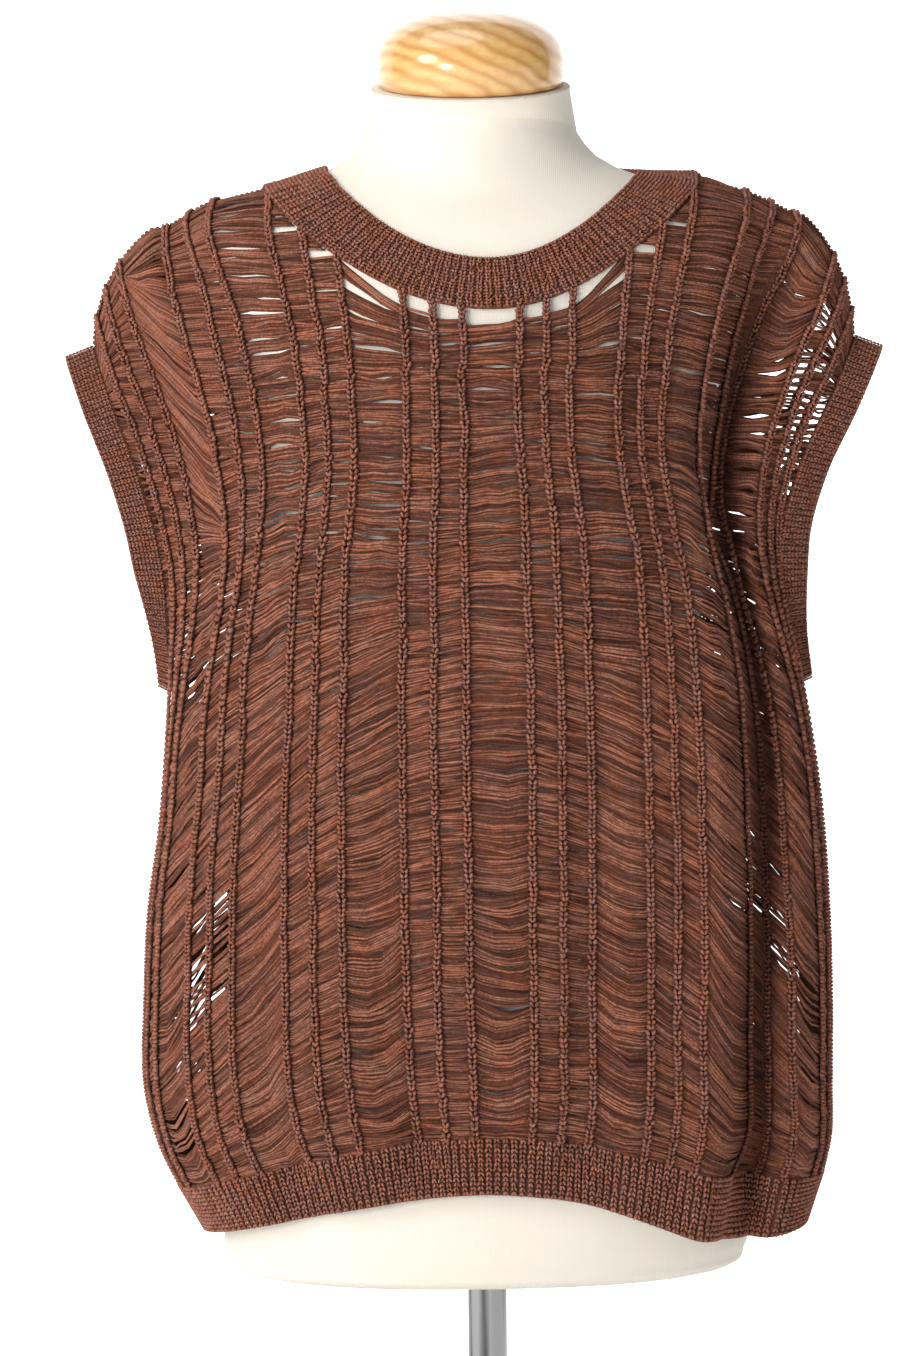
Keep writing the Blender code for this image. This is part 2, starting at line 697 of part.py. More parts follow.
def make_cloth(knit, rib, collection):
    across, raised = chain_places()
    surfaces = cloth_surface(-1), cloth_surface(1)
    front = panel_points(-1, surfaces[0])
    back = panel_points(1, surfaces[1])
    front_normals = grid_normals(-1, front)
    back_normals = grid_normals(1, back)
    share_seams(across, front_normals, back_normals)

    arms = [
        (name, armband_lines(edge, front, back, front_normals, back_normals))
        for name, edge in (("armband_right_hand", 0), ("armband_left_hand", -1))
    ]
    cells = front_cells(len(ROWS), across, raised)
    for name, grid, normals, present in (
        ("front", front, front_normals, cells),
        ("back", back, back_normals, None),
    ):
        heights = np.tile(raised, (len(grid), 1))
        mesh = wall_mesh(name, pulled_in(grid, normals, SEAM / 2), normals, heights, present)
        add_object(name, mesh, knit, collection)

    line, free, out = neckband_lines(surfaces, front, back, front_normals, back_normals)
    band("neckband", line, free, out, NECK_RIBS, NECK_SEAM, rib, collection)
    line, free, out = hem_lines(front, back, front_normals, back_normals)
    band("hem_rib", line, free, out, HEM_RIBS, CORNER_SEAM, rib, collection)
    for name, (line, free, out) in arms:
        band(name, line, free, out, ARM_RIBS, CORNER_SEAM, rib, collection)


def main():
    clear_scene()
    parts = bpy.data.collections.new("sweater vest on a dress form")
    bpy.context.scene.collection.children.link(parts)
    materials = {name: make_material(name) for name in COLOURS}
    make_form(materials["jersey"], parts)
    make_cap(materials["pine"], parts)
    make_pole(materials["chrome"], parts)
    make_base(materials["steel"], parts)
    make_cloth(materials["knit"], materials["rib"], parts)


main()
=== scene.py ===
"""The looks of a knitted sweater vest on a dress form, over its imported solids.

Metres, in the frame of the solids: +Z up, the vest's front at -Y, +X to the wearer's left hand.
The vest is built strand by strand: chain columns of slanted stitches, loose floats between them,
and ribbed bands.
"""

import math

import bpy
import numpy as np
from mathutils import Matrix, Vector

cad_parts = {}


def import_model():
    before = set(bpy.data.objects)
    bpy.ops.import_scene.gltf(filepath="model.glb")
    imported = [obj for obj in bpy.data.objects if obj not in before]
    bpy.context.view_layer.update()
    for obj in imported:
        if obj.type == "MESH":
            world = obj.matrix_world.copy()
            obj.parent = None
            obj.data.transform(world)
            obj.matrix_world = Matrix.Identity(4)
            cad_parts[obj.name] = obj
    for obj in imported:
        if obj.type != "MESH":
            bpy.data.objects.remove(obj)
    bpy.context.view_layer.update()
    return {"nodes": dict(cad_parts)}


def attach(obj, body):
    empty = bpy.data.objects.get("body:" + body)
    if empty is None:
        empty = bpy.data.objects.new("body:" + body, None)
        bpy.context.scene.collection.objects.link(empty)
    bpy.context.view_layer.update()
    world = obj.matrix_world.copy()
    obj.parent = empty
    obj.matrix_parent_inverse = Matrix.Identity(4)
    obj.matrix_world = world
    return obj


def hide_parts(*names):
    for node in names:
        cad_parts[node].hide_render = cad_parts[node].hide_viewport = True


# ---- sizes shared with the solids --------------------------------------------------------------
REST = 0.0069               # least distance from the form to the middle of the solid cloth
SETTLE = 0.0055             # the knit lies this much nearer to the form where it rests on it
FORM_FOOT = 0.210
NECK_CENTRE_Y = -0.020
NECK_TOP = 0.960
NECK_RADIUS = 0.0625
NECK_TILT = math.radians(18)
CAP_RADIUS = 0.0595
CAP_SIDE = 0.016
CAP_DOME = 0.031
SEAT = 0.0003

GROUPS = 8                  # groups of chain columns across a panel
CHAINS_IN_GROUP = 3
PANEL_WIDTH = 0.584
PANEL_LENGTH = 0.660        # along its middle, over the front and up to the shoulder
CHAIN_PITCH = 0.0182

NECK_MIDDLE_X = 0.010
NECK_HALF_SHARE = 0.455
NECK_INNER_SHARE = 0.325
FRONT_NECK_DROP = 0.237
FRONT_INNER_DROP = 0.185
BACK_NECK_DROP = 0.150
BACK_INNER_DROP = 0.105
UNDERARM = 0.56

NECK_RIBS = 134
HEM_RIBS = 232
ARMBAND_RIBS = 126
NECKBAND_WIDTH = 0.032
HEM_HEIGHT = 0.035
HEM_DRAW_IN = (0.92, 0.955)
HEM_DRAW_IN_DEPTH = 0.955
HEM_SIDE_LIFT = 0.009
HEM_CLEAR = 0.008
CORNER_X = 0.155
CORNER_HALF = 0.070
CORNER_DROP = 0.011
CORNER_LONGER = 0.009
CORNER_FADE = 0.30
ARMBAND_WIDTH = 0.020
ARMBAND_LEAN_LOW = 62
ARMBAND_LEAN_HIGH = 112
ARMBAND_CLOSE = 14.0
SHOULDER_FLAT = {-1: 3.8, 1: 5.2}  # how long the shoulders stay level before they drop, by hand
FOLD_FADE = 0.08

SURFACE_ROWS = 221
SURFACE_PLACES = 401

# the form: height, half width, reach to the front, reach to the back, squareness
FORM_RINGS = (
    (0.2100, 0.1480, 0.0880, 0.0860, 2.30),
    (0.2125, 0.1570, 0.0970, 0.0950, 2.30),
    (0.2220, 0.1645, 0.1050, 0.1040, 2.30),
    (0.2400, 0.1680, 0.1100, 0.1090, 2.30),
    (0.2900, 0.1690, 0.1120, 0.1130, 2.30),
    (0.3500, 0.1650, 0.1100, 0.1120, 2.30),
    (0.4200, 0.1500, 0.1020, 0.1020, 2.30),
    (0.5000, 0.1340, 0.0950, 0.0880, 2.20),
    (0.5600, 0.1330, 0.0970, 0.0860, 2.20),
    (0.6300, 0.1430, 0.1070, 0.0920, 2.20),
    (0.6900, 0.1520, 0.1150, 0.0980, 2.30),
    (0.7400, 0.1580, 0.1150, 0.1020, 2.30),
    (0.7900, 0.1680, 0.1050, 0.1040, 2.30),
    (0.8300, 0.1800, 0.0930, 0.1010, 2.40),
    (0.8550, 0.1860, 0.0850, 0.0940, 2.30),
    (0.8700, 0.1850, 0.0790, 0.0880, 2.10),
    (0.8790, 0.1790, 0.0740, 0.0830, 1.90),
    (0.8855, 0.1680, 0.0710, 0.0790, 1.75),
    (0.8915, 0.1520, 0.0700, 0.0770, 1.60),
    (0.8980, 0.1280, 0.0695, 0.0755, 1.50),
    (0.9055, 0.1030, 0.0690, 0.0740, 1.60),
    (0.9160, 0.0815, 0.0685, 0.0720, 1.80),
    (0.9240, 0.0735, 0.0680, 0.0690, 1.95),
    (0.9320, 0.0680, 0.0670, 0.0660, 2.00),
)

# the middle of each panel: share of its length, height, reach from the pole's axis
FRONT_MIDDLE = (
    (0.000, 0.3085, 0.1290),
    (0.035, 0.3320, 0.1370),
    (0.160, 0.4180, 0.1390),
    (0.350, 0.5440, 0.1370),
    (0.495, 0.6390, 0.1360),
    (0.600, 0.7090, 0.1330),
    (0.688, 0.7650, 0.1220),
    (0.763, 0.8120, 0.1070),
    (0.822, 0.8470, 0.0920),
    (0.873, 0.8720, 0.0720),
    (0.922, 0.8920, 0.0480),
    (0.965, 0.9050, 0.0230),
    (1.000, 0.9100, 0.0000),
)
BACK_MIDDLE = (
    (0.000, 0.2920, 0.1310),
    (0.040, 0.3180, 0.1370),
    (0.150, 0.3950, 0.1370),
    (0.310, 0.5150, 0.1310),
    (0.450, 0.6180, 0.1270),
    (0.590, 0.7180, 0.1300),
    (0.690, 0.7880, 0.1280),
    (0.780, 0.8500, 0.1180),
    (0.845, 0.8920, 0.1010),
    (0.890, 0.9120, 0.0790),
    (0.940, 0.9160, 0.0460),
    (1.000, 0.9100, 0.0000),
)

# the side edges of both panels: share of the length, height, half width
RIGHT_HAND_EDGE = (         # at -X
    (0.00, 0.266, 0.1935),
    (0.05, 0.289, 0.2045),
    (0.12, 0.322, 0.2135),
    (0.25, 0.390, 0.2135),
    (0.35, 0.440, 0.2105),
    (0.45, 0.500, 0.2020),
    (0.56, 0.580, 0.1965),
    (0.62, 0.618, 0.1970),
    (0.72, 0.668, 0.2015),
    (0.82, 0.716, 0.2140),
    (0.92, 0.763, 0.2310),
    (1.00, 0.800, 0.2430),
)
LEFT_HAND_EDGE = (          # at +X
    (0.00, 0.269, 0.2130),
    (0.05, 0.291, 0.2180),
    (0.12, 0.322, 0.2190),
    (0.25, 0.390, 0.2200),
    (0.35, 0.440, 0.2190),
    (0.45, 0.500, 0.2155),
    (0.56, 0.580, 0.2050),
    (0.62, 0.618, 0.1985),
    (0.72, 0.668, 0.1965),
    (0.82, 0.716, 0.2090),
    (0.92, 0.763, 0.2300),
    (1.00, 0.800, 0.2430),
)
# the armholes: side (-1 front, 1 back) and hand (-1 for -X), then how far the edge stands from
# the side seam, and how far it is drawn in
ARMHOLES = {
    (-1, -1): (0.030, 0.000),
    (-1, 1): (0.040, 0.005),
    (1, -1): (0.030, 0.000),
    (1, 1): (0.030, 0.000),
}

# upright folds: side (-1 front, 1 back), place across the panel at the hem and at the top, first
# and last share of the length, half width as a share of half a panel, depth inwards
FOLDS = (
    (-1, 0.590, 0.680, -0.20, 1.00, 0.064, 0.036),
    (-1, 0.470, 0.530, -0.20, 0.80, 0.060, -0.008),
    (-1, -0.600, -0.820, 0.55, 1.00, 0.060, 0.012),
    (-1, -0.475, -0.430, -0.20, 0.60, 0.055, 0.006),
    (-1, -0.185, -0.215, -0.20, 0.62, 0.055, 0.006),
    (-1, 0.180, 0.215, -0.20, 0.55, 0.060, 0.006),
    (1, -0.620, -0.690, -0.20, 0.95, 0.064, 0.030),
    (1, 0.550, 0.650, -0.20, 0.95, 0.064, 0.024),
    (1, 0.000, 0.030, -0.20, 0.60, 0.080, 0.012),
    (1, -0.285, -0.240, -0.20, 0.55, 0.065, 0.008),
    (1, 0.265, 0.250, -0.20, 0.50, 0.065, 0.009),
)

# ---- sizes of the yarn -------------------------------------------------------------------------
COURSES = 216               # rows of stitches up a panel
FLOATS_IN_COURSE = 2
CHAIN_HALF = 0.0018         # from the middle of a chain column to the middle of its legs
LEG_THICK = 0.00135         # half the thickness of a stitch's leg
FLOAT_WIDTH = 0.0018
FLOAT_RAISE = 0.0006
MISSING = 0.05              # share of the floats that have slipped behind the others
SHADED_FLOATS = 0.24          # share of the floats painted darker, as painted shade for strands lying deeper than the others
SHADED_NOTCH_REACH = 0.0028        # how far the notches at a chain's sides reach into the ladders, where every other float sinks and gets painted shade
FLOAT_TUCK = 0.0012         # how far a float runs under the chain at its end
UNDER_WIDTH = 0.0035        # flat dark strands beneath the floats, one to a course, a layer of painted shade between the floats
UNDER_DEPTH = 0.0012
NARROW_STEPS = 3            # steps along a float of a narrow ladder
WIDE_STEPS = 7
UNDER_NARROW_STEPS = 2
UNDER_WIDE_STEPS = 5
SEAM_SUNK = 0.0014          # how deep the column along a shoulder lies in its seam
LEG_STRAYS = 0.20           # how far a stitch's legs stray, as a share of half a column's width
NECK_HOLE = 0.005           # half of a narrow ladder's gap at the neckband, as a share of the length
LAST_SHARE = 0.9988         # the strands end at this share of the length, by the shoulder seam
SHELL_HALF = 0.0006         # half the thickness of a band's shell
RIB_WAVE = 0.0009           # from the valleys of a band's shell to its ribs

# tones, which the yarn's colour ramp turns into colours
CHAIN_TONE = 0.92
SEAM_TONE = 0.75
FLOAT_TONE = 0.95
# the dark layer beneath the floats is painted shade
SHADE_LAYER_TONE = 0.32
RIB_TONES = (0.86, 0.62)    # the stitches on the ribs, and the purls between them, which are darker as painted shade in the valleys
LEG_SHADES = (0.70, 1.22)   # each stitch is darker or lighter by a factor between these
FLOAT_EDGE_SHADING = (0.32, 1.0, 0.42)  # painted shade: factors for a float's lower edge, ridge and upper edge, darker at both edges than on the ridge
GAP_SHADE = 0.85            # how much painted shade darkens floats beside a parting and in a notch
DEEP_FOLD = 0.02            # folds deeper than this get painted shade in the yarn's tone
# how much painted shade darkens the yarn at the middle of a deep fold
RECESS_SHADE = 0.45

# one leg of a stitch, at four stations: along (in stitches), across, outwards, thickness
LEG = (
    (-0.30, 0.05, 0.2, 0.0),
    (0.10, 0.36, 0.9, 1.0),
    (0.62, 0.92, 0.9, 1.0),
    (1.08, 1.15, 0.0, 0.0),
)
# one bar of a purl stitch, which lies across its column
BAR = (
    (0.25, -1.10, 0.0, 0.0),
    (0.45, -0.40, 0.9, 1.0),
    (0.45, 0.40, 0.9, 1.0),
    (0.25, 1.10, 0.0, 0.0),
)

# where strands part into open slits: side, first and last place across, first and last share of
# the length, slits to a metre, least and most height
SLIT_ZONES = (
    (-1, -0.58, -0.42, 0.60, 0.92, 76, 0.0024, 0.0050),
    (-1, -0.70, -0.58, 0.62, 0.96, 44, 0.0024, 0.0036),
    (-1, -0.42, 0.14, 0.50, 0.97, 66, 0.0022, 0.0038),
    (-1, 0.14, 0.70, 0.54, 0.97, 30, 0.0020, 0.0034),
    (-1, -0.70, 0.70, 0.06, 0.50, 16, 0.0022, 0.0042),
    (-1, 0.44, 0.64, 0.40, 0.66, 30, 0.0024, 0.0036),
    (-1, -0.52, -0.48, 0.920, 0.950, 60, 0.0110, 0.0130),
    (-1, 0.48, 0.52, 0.920, 0.950, 60, 0.0110, 0.0130),
    (-1, -1.00, -0.92, 0.52, 0.92, 150, 0.0034, 0.0050),
    (-1, 0.92, 1.00, 0.56, 0.96, 150, 0.0034, 0.0050),
    (-1, 0.68, 0.83, 0.64, 0.84, 75, 0.0044, 0.0085),
    (-1, -1.00, -0.62, 0.12, 0.46, 44, 0.0030, 0.0056),
    (-1, 0.66, 1.00, 0.06, 0.50, 50, 0.0030, 0.0060),
    (1, -0.92, 0.92, 0.52, 0.97, 24, 0.0020, 0.0048),
    (1, -0.92, 0.92, 0.06, 0.52, 14, 0.0018, 0.0044),
    (1, -1.00, -0.66, 0.10, 0.56, 70, 0.0050, 0.0080),
    (1, 0.66, 1.00, 0.10, 0.56, 70, 0.0050, 0.0080),
    (1, -1.00, -0.66, 0.56, 0.92, 90, 0.0060, 0.0100),
    (1, 0.66, 1.00, 0.56, 0.92, 90, 0.0060, 0.0100),
)
BUNDLES = 250               # to a metre of a ladder: small partings between bundles of strands

# where a ladder has so few strands that one sees through it in places: side, first and last place
# across, first and last share of the length, the share of that stretch which is thin, and how many
# strands are left there of how many
THIN_ZONES = (
    (-1, -0.61, -0.58, 0.20, 0.31, 0.85, 2, 4),
    (-1, -0.67, -0.64, 0.18, 0.33, 0.50, 2, 4),
    (-1, -0.76, -0.74, 0.05, 0.17, 0.40, 2, 4),
    (-1, -1.00, -0.95, 0.56, 0.92, 0.45, 2, 4),
    (-1, 0.74, 0.76, 0.12, 0.27, 0.55, 2, 4),
    (-1, 0.58, 0.67, 0.22, 0.38, 0.40, 2, 4),
    (-1, 0.82, 1.00, 0.76, 0.94, 0.80, 2, 4),
    (1, -0.82, -0.55, 0.08, 0.34, 0.65, 2, 5),
    (1, 0.55, 0.82, 0.08, 0.38, 0.65, 2, 5),
    (1, -1.00, -0.80, 0.56, 0.94, 0.50, 2, 5),
    (1, 0.68, 1.00, 0.72, 0.96, 0.85, 1, 5),
)

# slack strands: side, first and last place across, first and last share of the length, sag, and
# how far the outer end lies above the inner one
SLACK = (
    (-1, -0.83, -0.67, 0.60, 0.97, 0.008, 0.050),
    (-1, 0.67, 0.83, 0.74, 0.99, 0.012, 0.000),
    (1, -0.83, -0.67, 0.74, 0.99, 0.014, 0.000),
    (1, 0.67, 0.83, 0.74, 0.99, 0.014, 0.000),
)
HEM_SAG = 0.0120
# how far the strands of a wide ladder at the sides fall outwards: share of the length, metres
SIDE_FALL = (
    (0.00, 0.000),
    (0.07, 0.016),
    (0.33, 0.014),
    (0.48, 0.011),
    (0.62, 0.008),
    (0.72, 0.002),
    (0.80, 0.000),
    (1.00, 0.000),
)
# between these shares of the length the strands turn from the rows' own fall to level ones
LEVEL_FROM = (0.38, 0.58)
LEVEL_UNTIL = (0.88, 0.985)
NECK_GAP = 0.016            # share of the length left open under the front of the neckband
BACK_NECK_GAP = 0.004

SEED = 41


# ---- small tools -------------------------------------------------------------------------------
def column(table, number, at):
    """A smooth curve through one column of a table, read at a place or at many."""
    places = np.array([row[0] for row in table])
    values = np.array([row[number] for row in table])
    slopes = np.gradient(values, places)
    at = np.clip(np.asarray(at, dtype=float), places[0], places[-1])
    cell = np.clip(np.searchsorted(places, at, side="right") - 1, 0, len(places) - 2)
    step = places[cell + 1] - places[cell]
    t = (at - places[cell]) / step
    rise = values[cell] * (2 * t**3 - 3 * t**2 + 1) + values[cell + 1] * (3 * t**2 - 2 * t**3)
    bend = slopes[cell] * (t**3 - 2 * t**2 + t) + slopes[cell + 1] * (t**3 - t**2)
    return rise + bend * step


def soft_step(at, low, high):
    t = np.clip((at - low) / (high - low), 0, 1)
    return t * t * (3 - 2 * t)


def soft_span(at, low, high, rise, fall):
    """1 between low and high and 0 outside, with soft steps inside both ends."""
    return soft_step(at, low, low + rise) * (1 - soft_step(at, high - fall, high))


def bell(at):
    return np.exp(-(at**2))


def unit(vectors):
    return vectors / np.maximum(np.linalg.norm(vectors, axis=-1, keepdims=True), 1e-9)


def evenly(points, shares):
    """Points at the given shares of a polyline's length."""
    steps = np.linalg.norm(np.diff(points, axis=0), axis=1)
    run = np.concatenate(([0], np.cumsum(steps)))
    at = np.asarray(shares) * run[-1]
    return np.stack([np.interp(at, run, points[:, k]) for k in range(3)], axis=1)


def noise(seed, x, y):
    """Smooth noise from -1 to 1 over a plane, with about one bump to each unit."""
    table = np.random.default_rng(seed).uniform(-1, 1, (64, 64))
    x, y = np.broadcast_arrays(np.asarray(x, dtype=float), np.asarray(y, dtype=float))
    column_, row = np.floor(x).astype(int), np.floor(y).astype(int)
    u, v = soft_step(x - column_, 0, 1), soft_step(y - row, 0, 1)
    low, high = (
        table[column_ % 64, at % 64] * (1 - u) + table[(column_ + 1) % 64, at % 64] * u
        for at in (row, row + 1)
    )
    return low * (1 - v) + high * v


# ---- the form and the cloth as surfaces, as in the solids ---------------------------------------
def form_ring(height):
    return [column(FORM_RINGS, k, height) for k in (1, 2, 3, 4)]


def form_points(angle, height):
    """Points of the form at angles round it (0 at +X), for one height."""
    half, front, back, square = form_ring(height)
    reach = np.where(np.sin(angle) < 0, front, back)
    x = half * np.sign(np.cos(angle)) * np.abs(np.cos(angle)) ** (2 / square)
    y = reach * np.sign(np.sin(angle)) * np.abs(np.sin(angle)) ** (2 / square)
    return np.stack([x, y, np.full_like(x, height)], axis=-1)


def outside_form(points):
    """How far points lie outside the form, with a minus sign inside, and the way out."""
    def level(p):
        half, front, back, square = form_ring(p[..., 2])
        reach = np.where(p[..., 1] < 0, front, back)
        total = (np.abs(p[..., 0]) / half) ** square + (np.abs(p[..., 1]) / reach) ** square
        return total ** (1 / square) - 1

    nudge = 0.0002
    rises = [level(points + by) - level(points - by) for by in nudge * np.eye(3)]
    slope = np.stack([rise / (2 * nudge) for rise in rises], axis=-1)
    size = np.maximum(np.linalg.norm(slope, axis=-1, keepdims=True), 1e-6)
    return level(points) / size[..., 0], slope / size


def lifted(points, distance):
    """Cloth points, moved out where they would lie nearer to the form than a distance."""
    for _ in range(5):
        gap, way = outside_form(points)
        short = np.clip(distance - gap, 0, 0.02)
        points = points + way * short[..., None]
    return points


def folds_of(side, share):
    """The folds of a panel: their middles and strengths at a share, half widths and depths."""
    for fold_side, at_hem, at_top, low, high, half, depth in FOLDS:
        if fold_side == side:
            middle = at_hem + (at_top - at_hem) * soft_step(share, 0.0, 1.0)
            yield middle, soft_span(share, low, high, 0.2, 0.25), half, depth


def painted_fold_shade(side, across, share):
    """Painted shade: a factor that darkens the yarn's tone inside the deep folds, where less light
    reaches it.
    """
    light = np.ones_like(across)
    for middle, strength, half, depth in folds_of(side, share):
        if depth > DEEP_FOLD:
            light = light * (1 - RECESS_SHADE * strength * bell((across - middle) / (0.8 * half)))
    return light


def folded(side, points, across, share):
    """Soft upright troughs and ridges, added to the points at places across one row."""
    shift = np.zeros_like(across)
    for middle, strength, half, depth in folds_of(side, share):
        shift += depth * strength * bell((across - middle) / half)
    moved = points.copy()
    moved[:, 1] -= side * shift * soft_step(1 - np.abs(across), 0, FOLD_FADE)
    return moved


def hem_corner(x):
    """How much of the front's lower corner there is at a place, from 0 to 1."""
    return bell((x - CORNER_X) / CORNER_HALF)


def row_of_cloth(side, share):
    """One row of a panel as a dense line from its -X edge to its +X edge."""
    middle = FRONT_MIDDLE if side < 0 else BACK_MIDDLE
    height = column(middle, 1, share)
    reach = column(middle, 2, share)
    rise = np.clip((share - UNDERARM) / (1 - UNDERARM), 0, 1)
    square = 2.35 - 0.35 * soft_step(share, 0.6, 0.95)
    openness = soft_step(share, UNDERARM - 0.08, UNDERARM + 0.10)
    drop = 1.0 + 1.0 * soft_step(share, 0.45, 0.95)
    angle = np.linspace(0, math.pi / 2, 160)
    halves = []
    for table, sign in ((RIGHT_HAND_EDGE, -1), (LEFT_HAND_EDGE, 1)):
        reach_out, tuck = ARMHOLES[side, sign]
        flat = 1.7 + (SHOULDER_FLAT[sign] - 1.7) * soft_step(share, 0.45, 0.95)
        edge_height = column(table, 1, share)
        edge_x = column(table, 2, share) - tuck * math.sin(math.pi * rise)
        edge_y = side * reach_out * math.sin(math.pi * rise) ** 0.6
        across = np.sin(angle) ** (2 / square)
        rounded = np.cos(angle) ** (2 / square)
        rounded[-1] = 0
        straight = 1 - across**2.5
        out = rounded * (1 - openness) + straight * openness
        x = sign * edge_x * across
        y = edge_y + (side * reach - edge_y) * out
        z = edge_height + (height - edge_height) * (1 - across**flat) ** (1 / drop)
        if side < 0:
            low_down = 1 - soft_step(share, 0, CORNER_FADE)
            z = z - CORNER_DROP * hem_corner(x) * (1 - across**6) * low_down
        halves.append(np.stack([x, y, z], axis=1))
    return np.concatenate([halves[0][::-1], halves[1][1:]])


def cloth_row(side, share, across):
    """Points of a panel's middle surface at places from -1 to 1 across it, on one row."""
    line = row_of_cloth(side, share)
    split = int(np.argmin(np.abs(line[:, 0] - NECK_MIDDLE_X)))
    first = evenly(line[: split + 1], np.clip(1 + across, 0, 1))
    second = evenly(line[split:], np.clip(across, 0, 1))
    smooth = np.where((across < 0)[:, None], first, second)
    return lifted(folded(side, smooth, across, share), REST)


def neckline(side, across, inner=False):
    """The share of a panel's length at which the neckline lies."""
    if side < 0:
        depth = FRONT_INNER_DROP if inner else FRONT_NECK_DROP
    else:
        depth = BACK_INNER_DROP if inner else BACK_NECK_DROP
    half = NECK_INNER_SHARE if inner else NECK_HALF_SHARE
    inside = np.clip(1 - (across / half) ** 2, 0, 1)
    return 1 - depth * np.sqrt(inside)


class Panel:
    """The front (side -1) or the back (side 1), as tables of points and of directions outwards."""

    def __init__(self, side):
        self.side = side
        self.name = "front" if side < 0 else "back"
        across = np.linspace(-1, 1, SURFACE_PLACES)
        shares = np.linspace(0, 1, SURFACE_ROWS)
        points = np.array([cloth_row(side, share, across) for share in shares])
        gap, way = outside_form(points)
        settled = SETTLE * (1 - soft_step(gap, REST + 0.002, REST + 0.014))
        self.points = points - way * settled[..., None]
        along = np.gradient(self.points, axis=1)
        up = np.gradient(self.points, axis=0)
        self.outs = unit(np.cross(along, up)) * -side

    def read(self, table, across, share):
        across, share = np.broadcast_arrays(across, share)
        down = np.clip(share, 0, 1) * (SURFACE_ROWS - 1)
        over = (np.clip(across, -1, 1) + 1) / 2 * (SURFACE_PLACES - 1)
        row = np.clip(down.astype(int), 0, SURFACE_ROWS - 2)
        place = np.clip(over.astype(int), 0, SURFACE_PLACES - 2)
        s = (down - row)[..., None]
        t = (over - place)[..., None]
        low = table[row, place] * (1 - t) + table[row, place + 1] * t
        high = table[row + 1, place] * (1 - t) + table[row + 1, place + 1] * t
        return low * (1 - s) + high * s

    def at(self, across, share):
        return self.read(self.points, across, share)

    def out(self, across, share):
        return unit(self.read(self.outs, across, share))


# ---- meshes from arrays ------------------------------------------------------------------------
def new_object(name, data):
    thing = bpy.data.objects.new(name, data)
    bpy.context.scene.collection.objects.link(thing)
    return thing


class Strands:
    """Gathers the points and faces of many strands, and makes one object of them."""

    def __init__(self):
        self.points, self.tones, self.maps, self.faces = [], [], [], []
        self.count = 0

    def add(self, points, tones, places, faces):
        """Copies of one small mesh: points (copies, n, 3), its faces as lists of corners."""
        copies, size = points.shape[:2]
        first = self.count + np.arange(copies)[:, None, None] * size
        for corners in faces:
            self.faces.append((first + np.array(corners)[None]).reshape(-1, len(corners[0])))
        self.points.append(points.reshape(-1, 3))
        self.tones.append(np.broadcast_to(tones, (copies, size)).ravel())
        self.maps.append(np.broadcast_to(places, (copies, size, 2)).reshape(-1, 2))
        self.count += copies * size

    def make(self, name, material):
        points = np.concatenate(self.points)
        tones = np.concatenate(self.tones)
        places = np.concatenate(self.maps)
        corners = np.concatenate([face.ravel() for face in self.faces])
        sizes = np.concatenate([np.full(len(face), face.shape[1]) for face in self.faces])
        mesh = bpy.data.meshes.new(name)
        mesh.vertices.add(len(points))
        mesh.vertices.foreach_set("co", points.ravel())
        mesh.loops.add(len(corners))
        mesh.loops.foreach_set("vertex_index", corners)
        mesh.polygons.add(len(sizes))
        mesh.polygons.foreach_set("loop_start", np.concatenate(([0], np.cumsum(sizes)[:-1])))
        mesh.update(calc_edges=True)
        layer = mesh.uv_layers.new(name="OFBake")
        layer.uv.foreach_set("vector", np.clip(places[corners], 0, 1).ravel())
        tone = mesh.attributes.new("tone", "FLOAT", "POINT")
        tone.data.foreach_set("value", tones)
        mesh.shade_smooth()
        mesh.materials.append(material)
        return new_object(name, mesh)


def wall_faces(rings, sides, closed):
    """Faces between rings of points; closed joins the last ring to the first."""
    here = np.arange(rings * sides).reshape(rings, sides)
    beside = np.roll(here, -1, axis=1)
    faces = np.stack([here, beside, np.roll(beside, -1, axis=0), np.roll(here, -1, axis=0)], axis=-1)
    return faces[: rings if closed else rings - 1].reshape(-1, 4)


def ring_map(round_, up):
    """Places on a map that runs round rings of points and up them."""
    return np.stack(np.broadcast_arrays(round_[None], up[:, None]), axis=-1).reshape(1, -1, 2)


def ring_turns(ring):
    """Directions along a closed line."""
    return np.gradient(np.concatenate([ring[-1:], ring, ring[:1]]), axis=0)[1:-1]


def ride_as(thing, slot, *nodes):
    """The piece rides on the one body, in place of the nodes named."""
    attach(thing, "root")
    if nodes:
        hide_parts(*nodes)
    return thing


# ---- stitches ----------------------------------------------------------------------------------
def between(values, at):
    """Values of a list read at places between its entries."""
    at = np.clip(at, 0, len(values) - 1)
    low = np.clip(at.astype(int), 0, len(values) - 2)
    t = (at - low)[..., None]
    return values[low] * (1 - t) + values[low + 1] * t


LEG_FACES = (
    ((0, 2, 1), (0, 3, 2), (0, 1, 3), (4, 5, 7), (5, 6, 7), (6, 4, 7)),
    ((1, 2, 5, 4), (2, 3, 6, 5), (3, 1, 4, 6)),
)
# painted shade on each leg's or bar's points: lighter where it faces outwards, darker where it faces
# inwards and at its tips, most at its upper end
LEG_PAINTED_SHADING = np.array([0.7, 1.08, 0.80, 0.80, 1.08, 0.66, 0.66, 0.5])


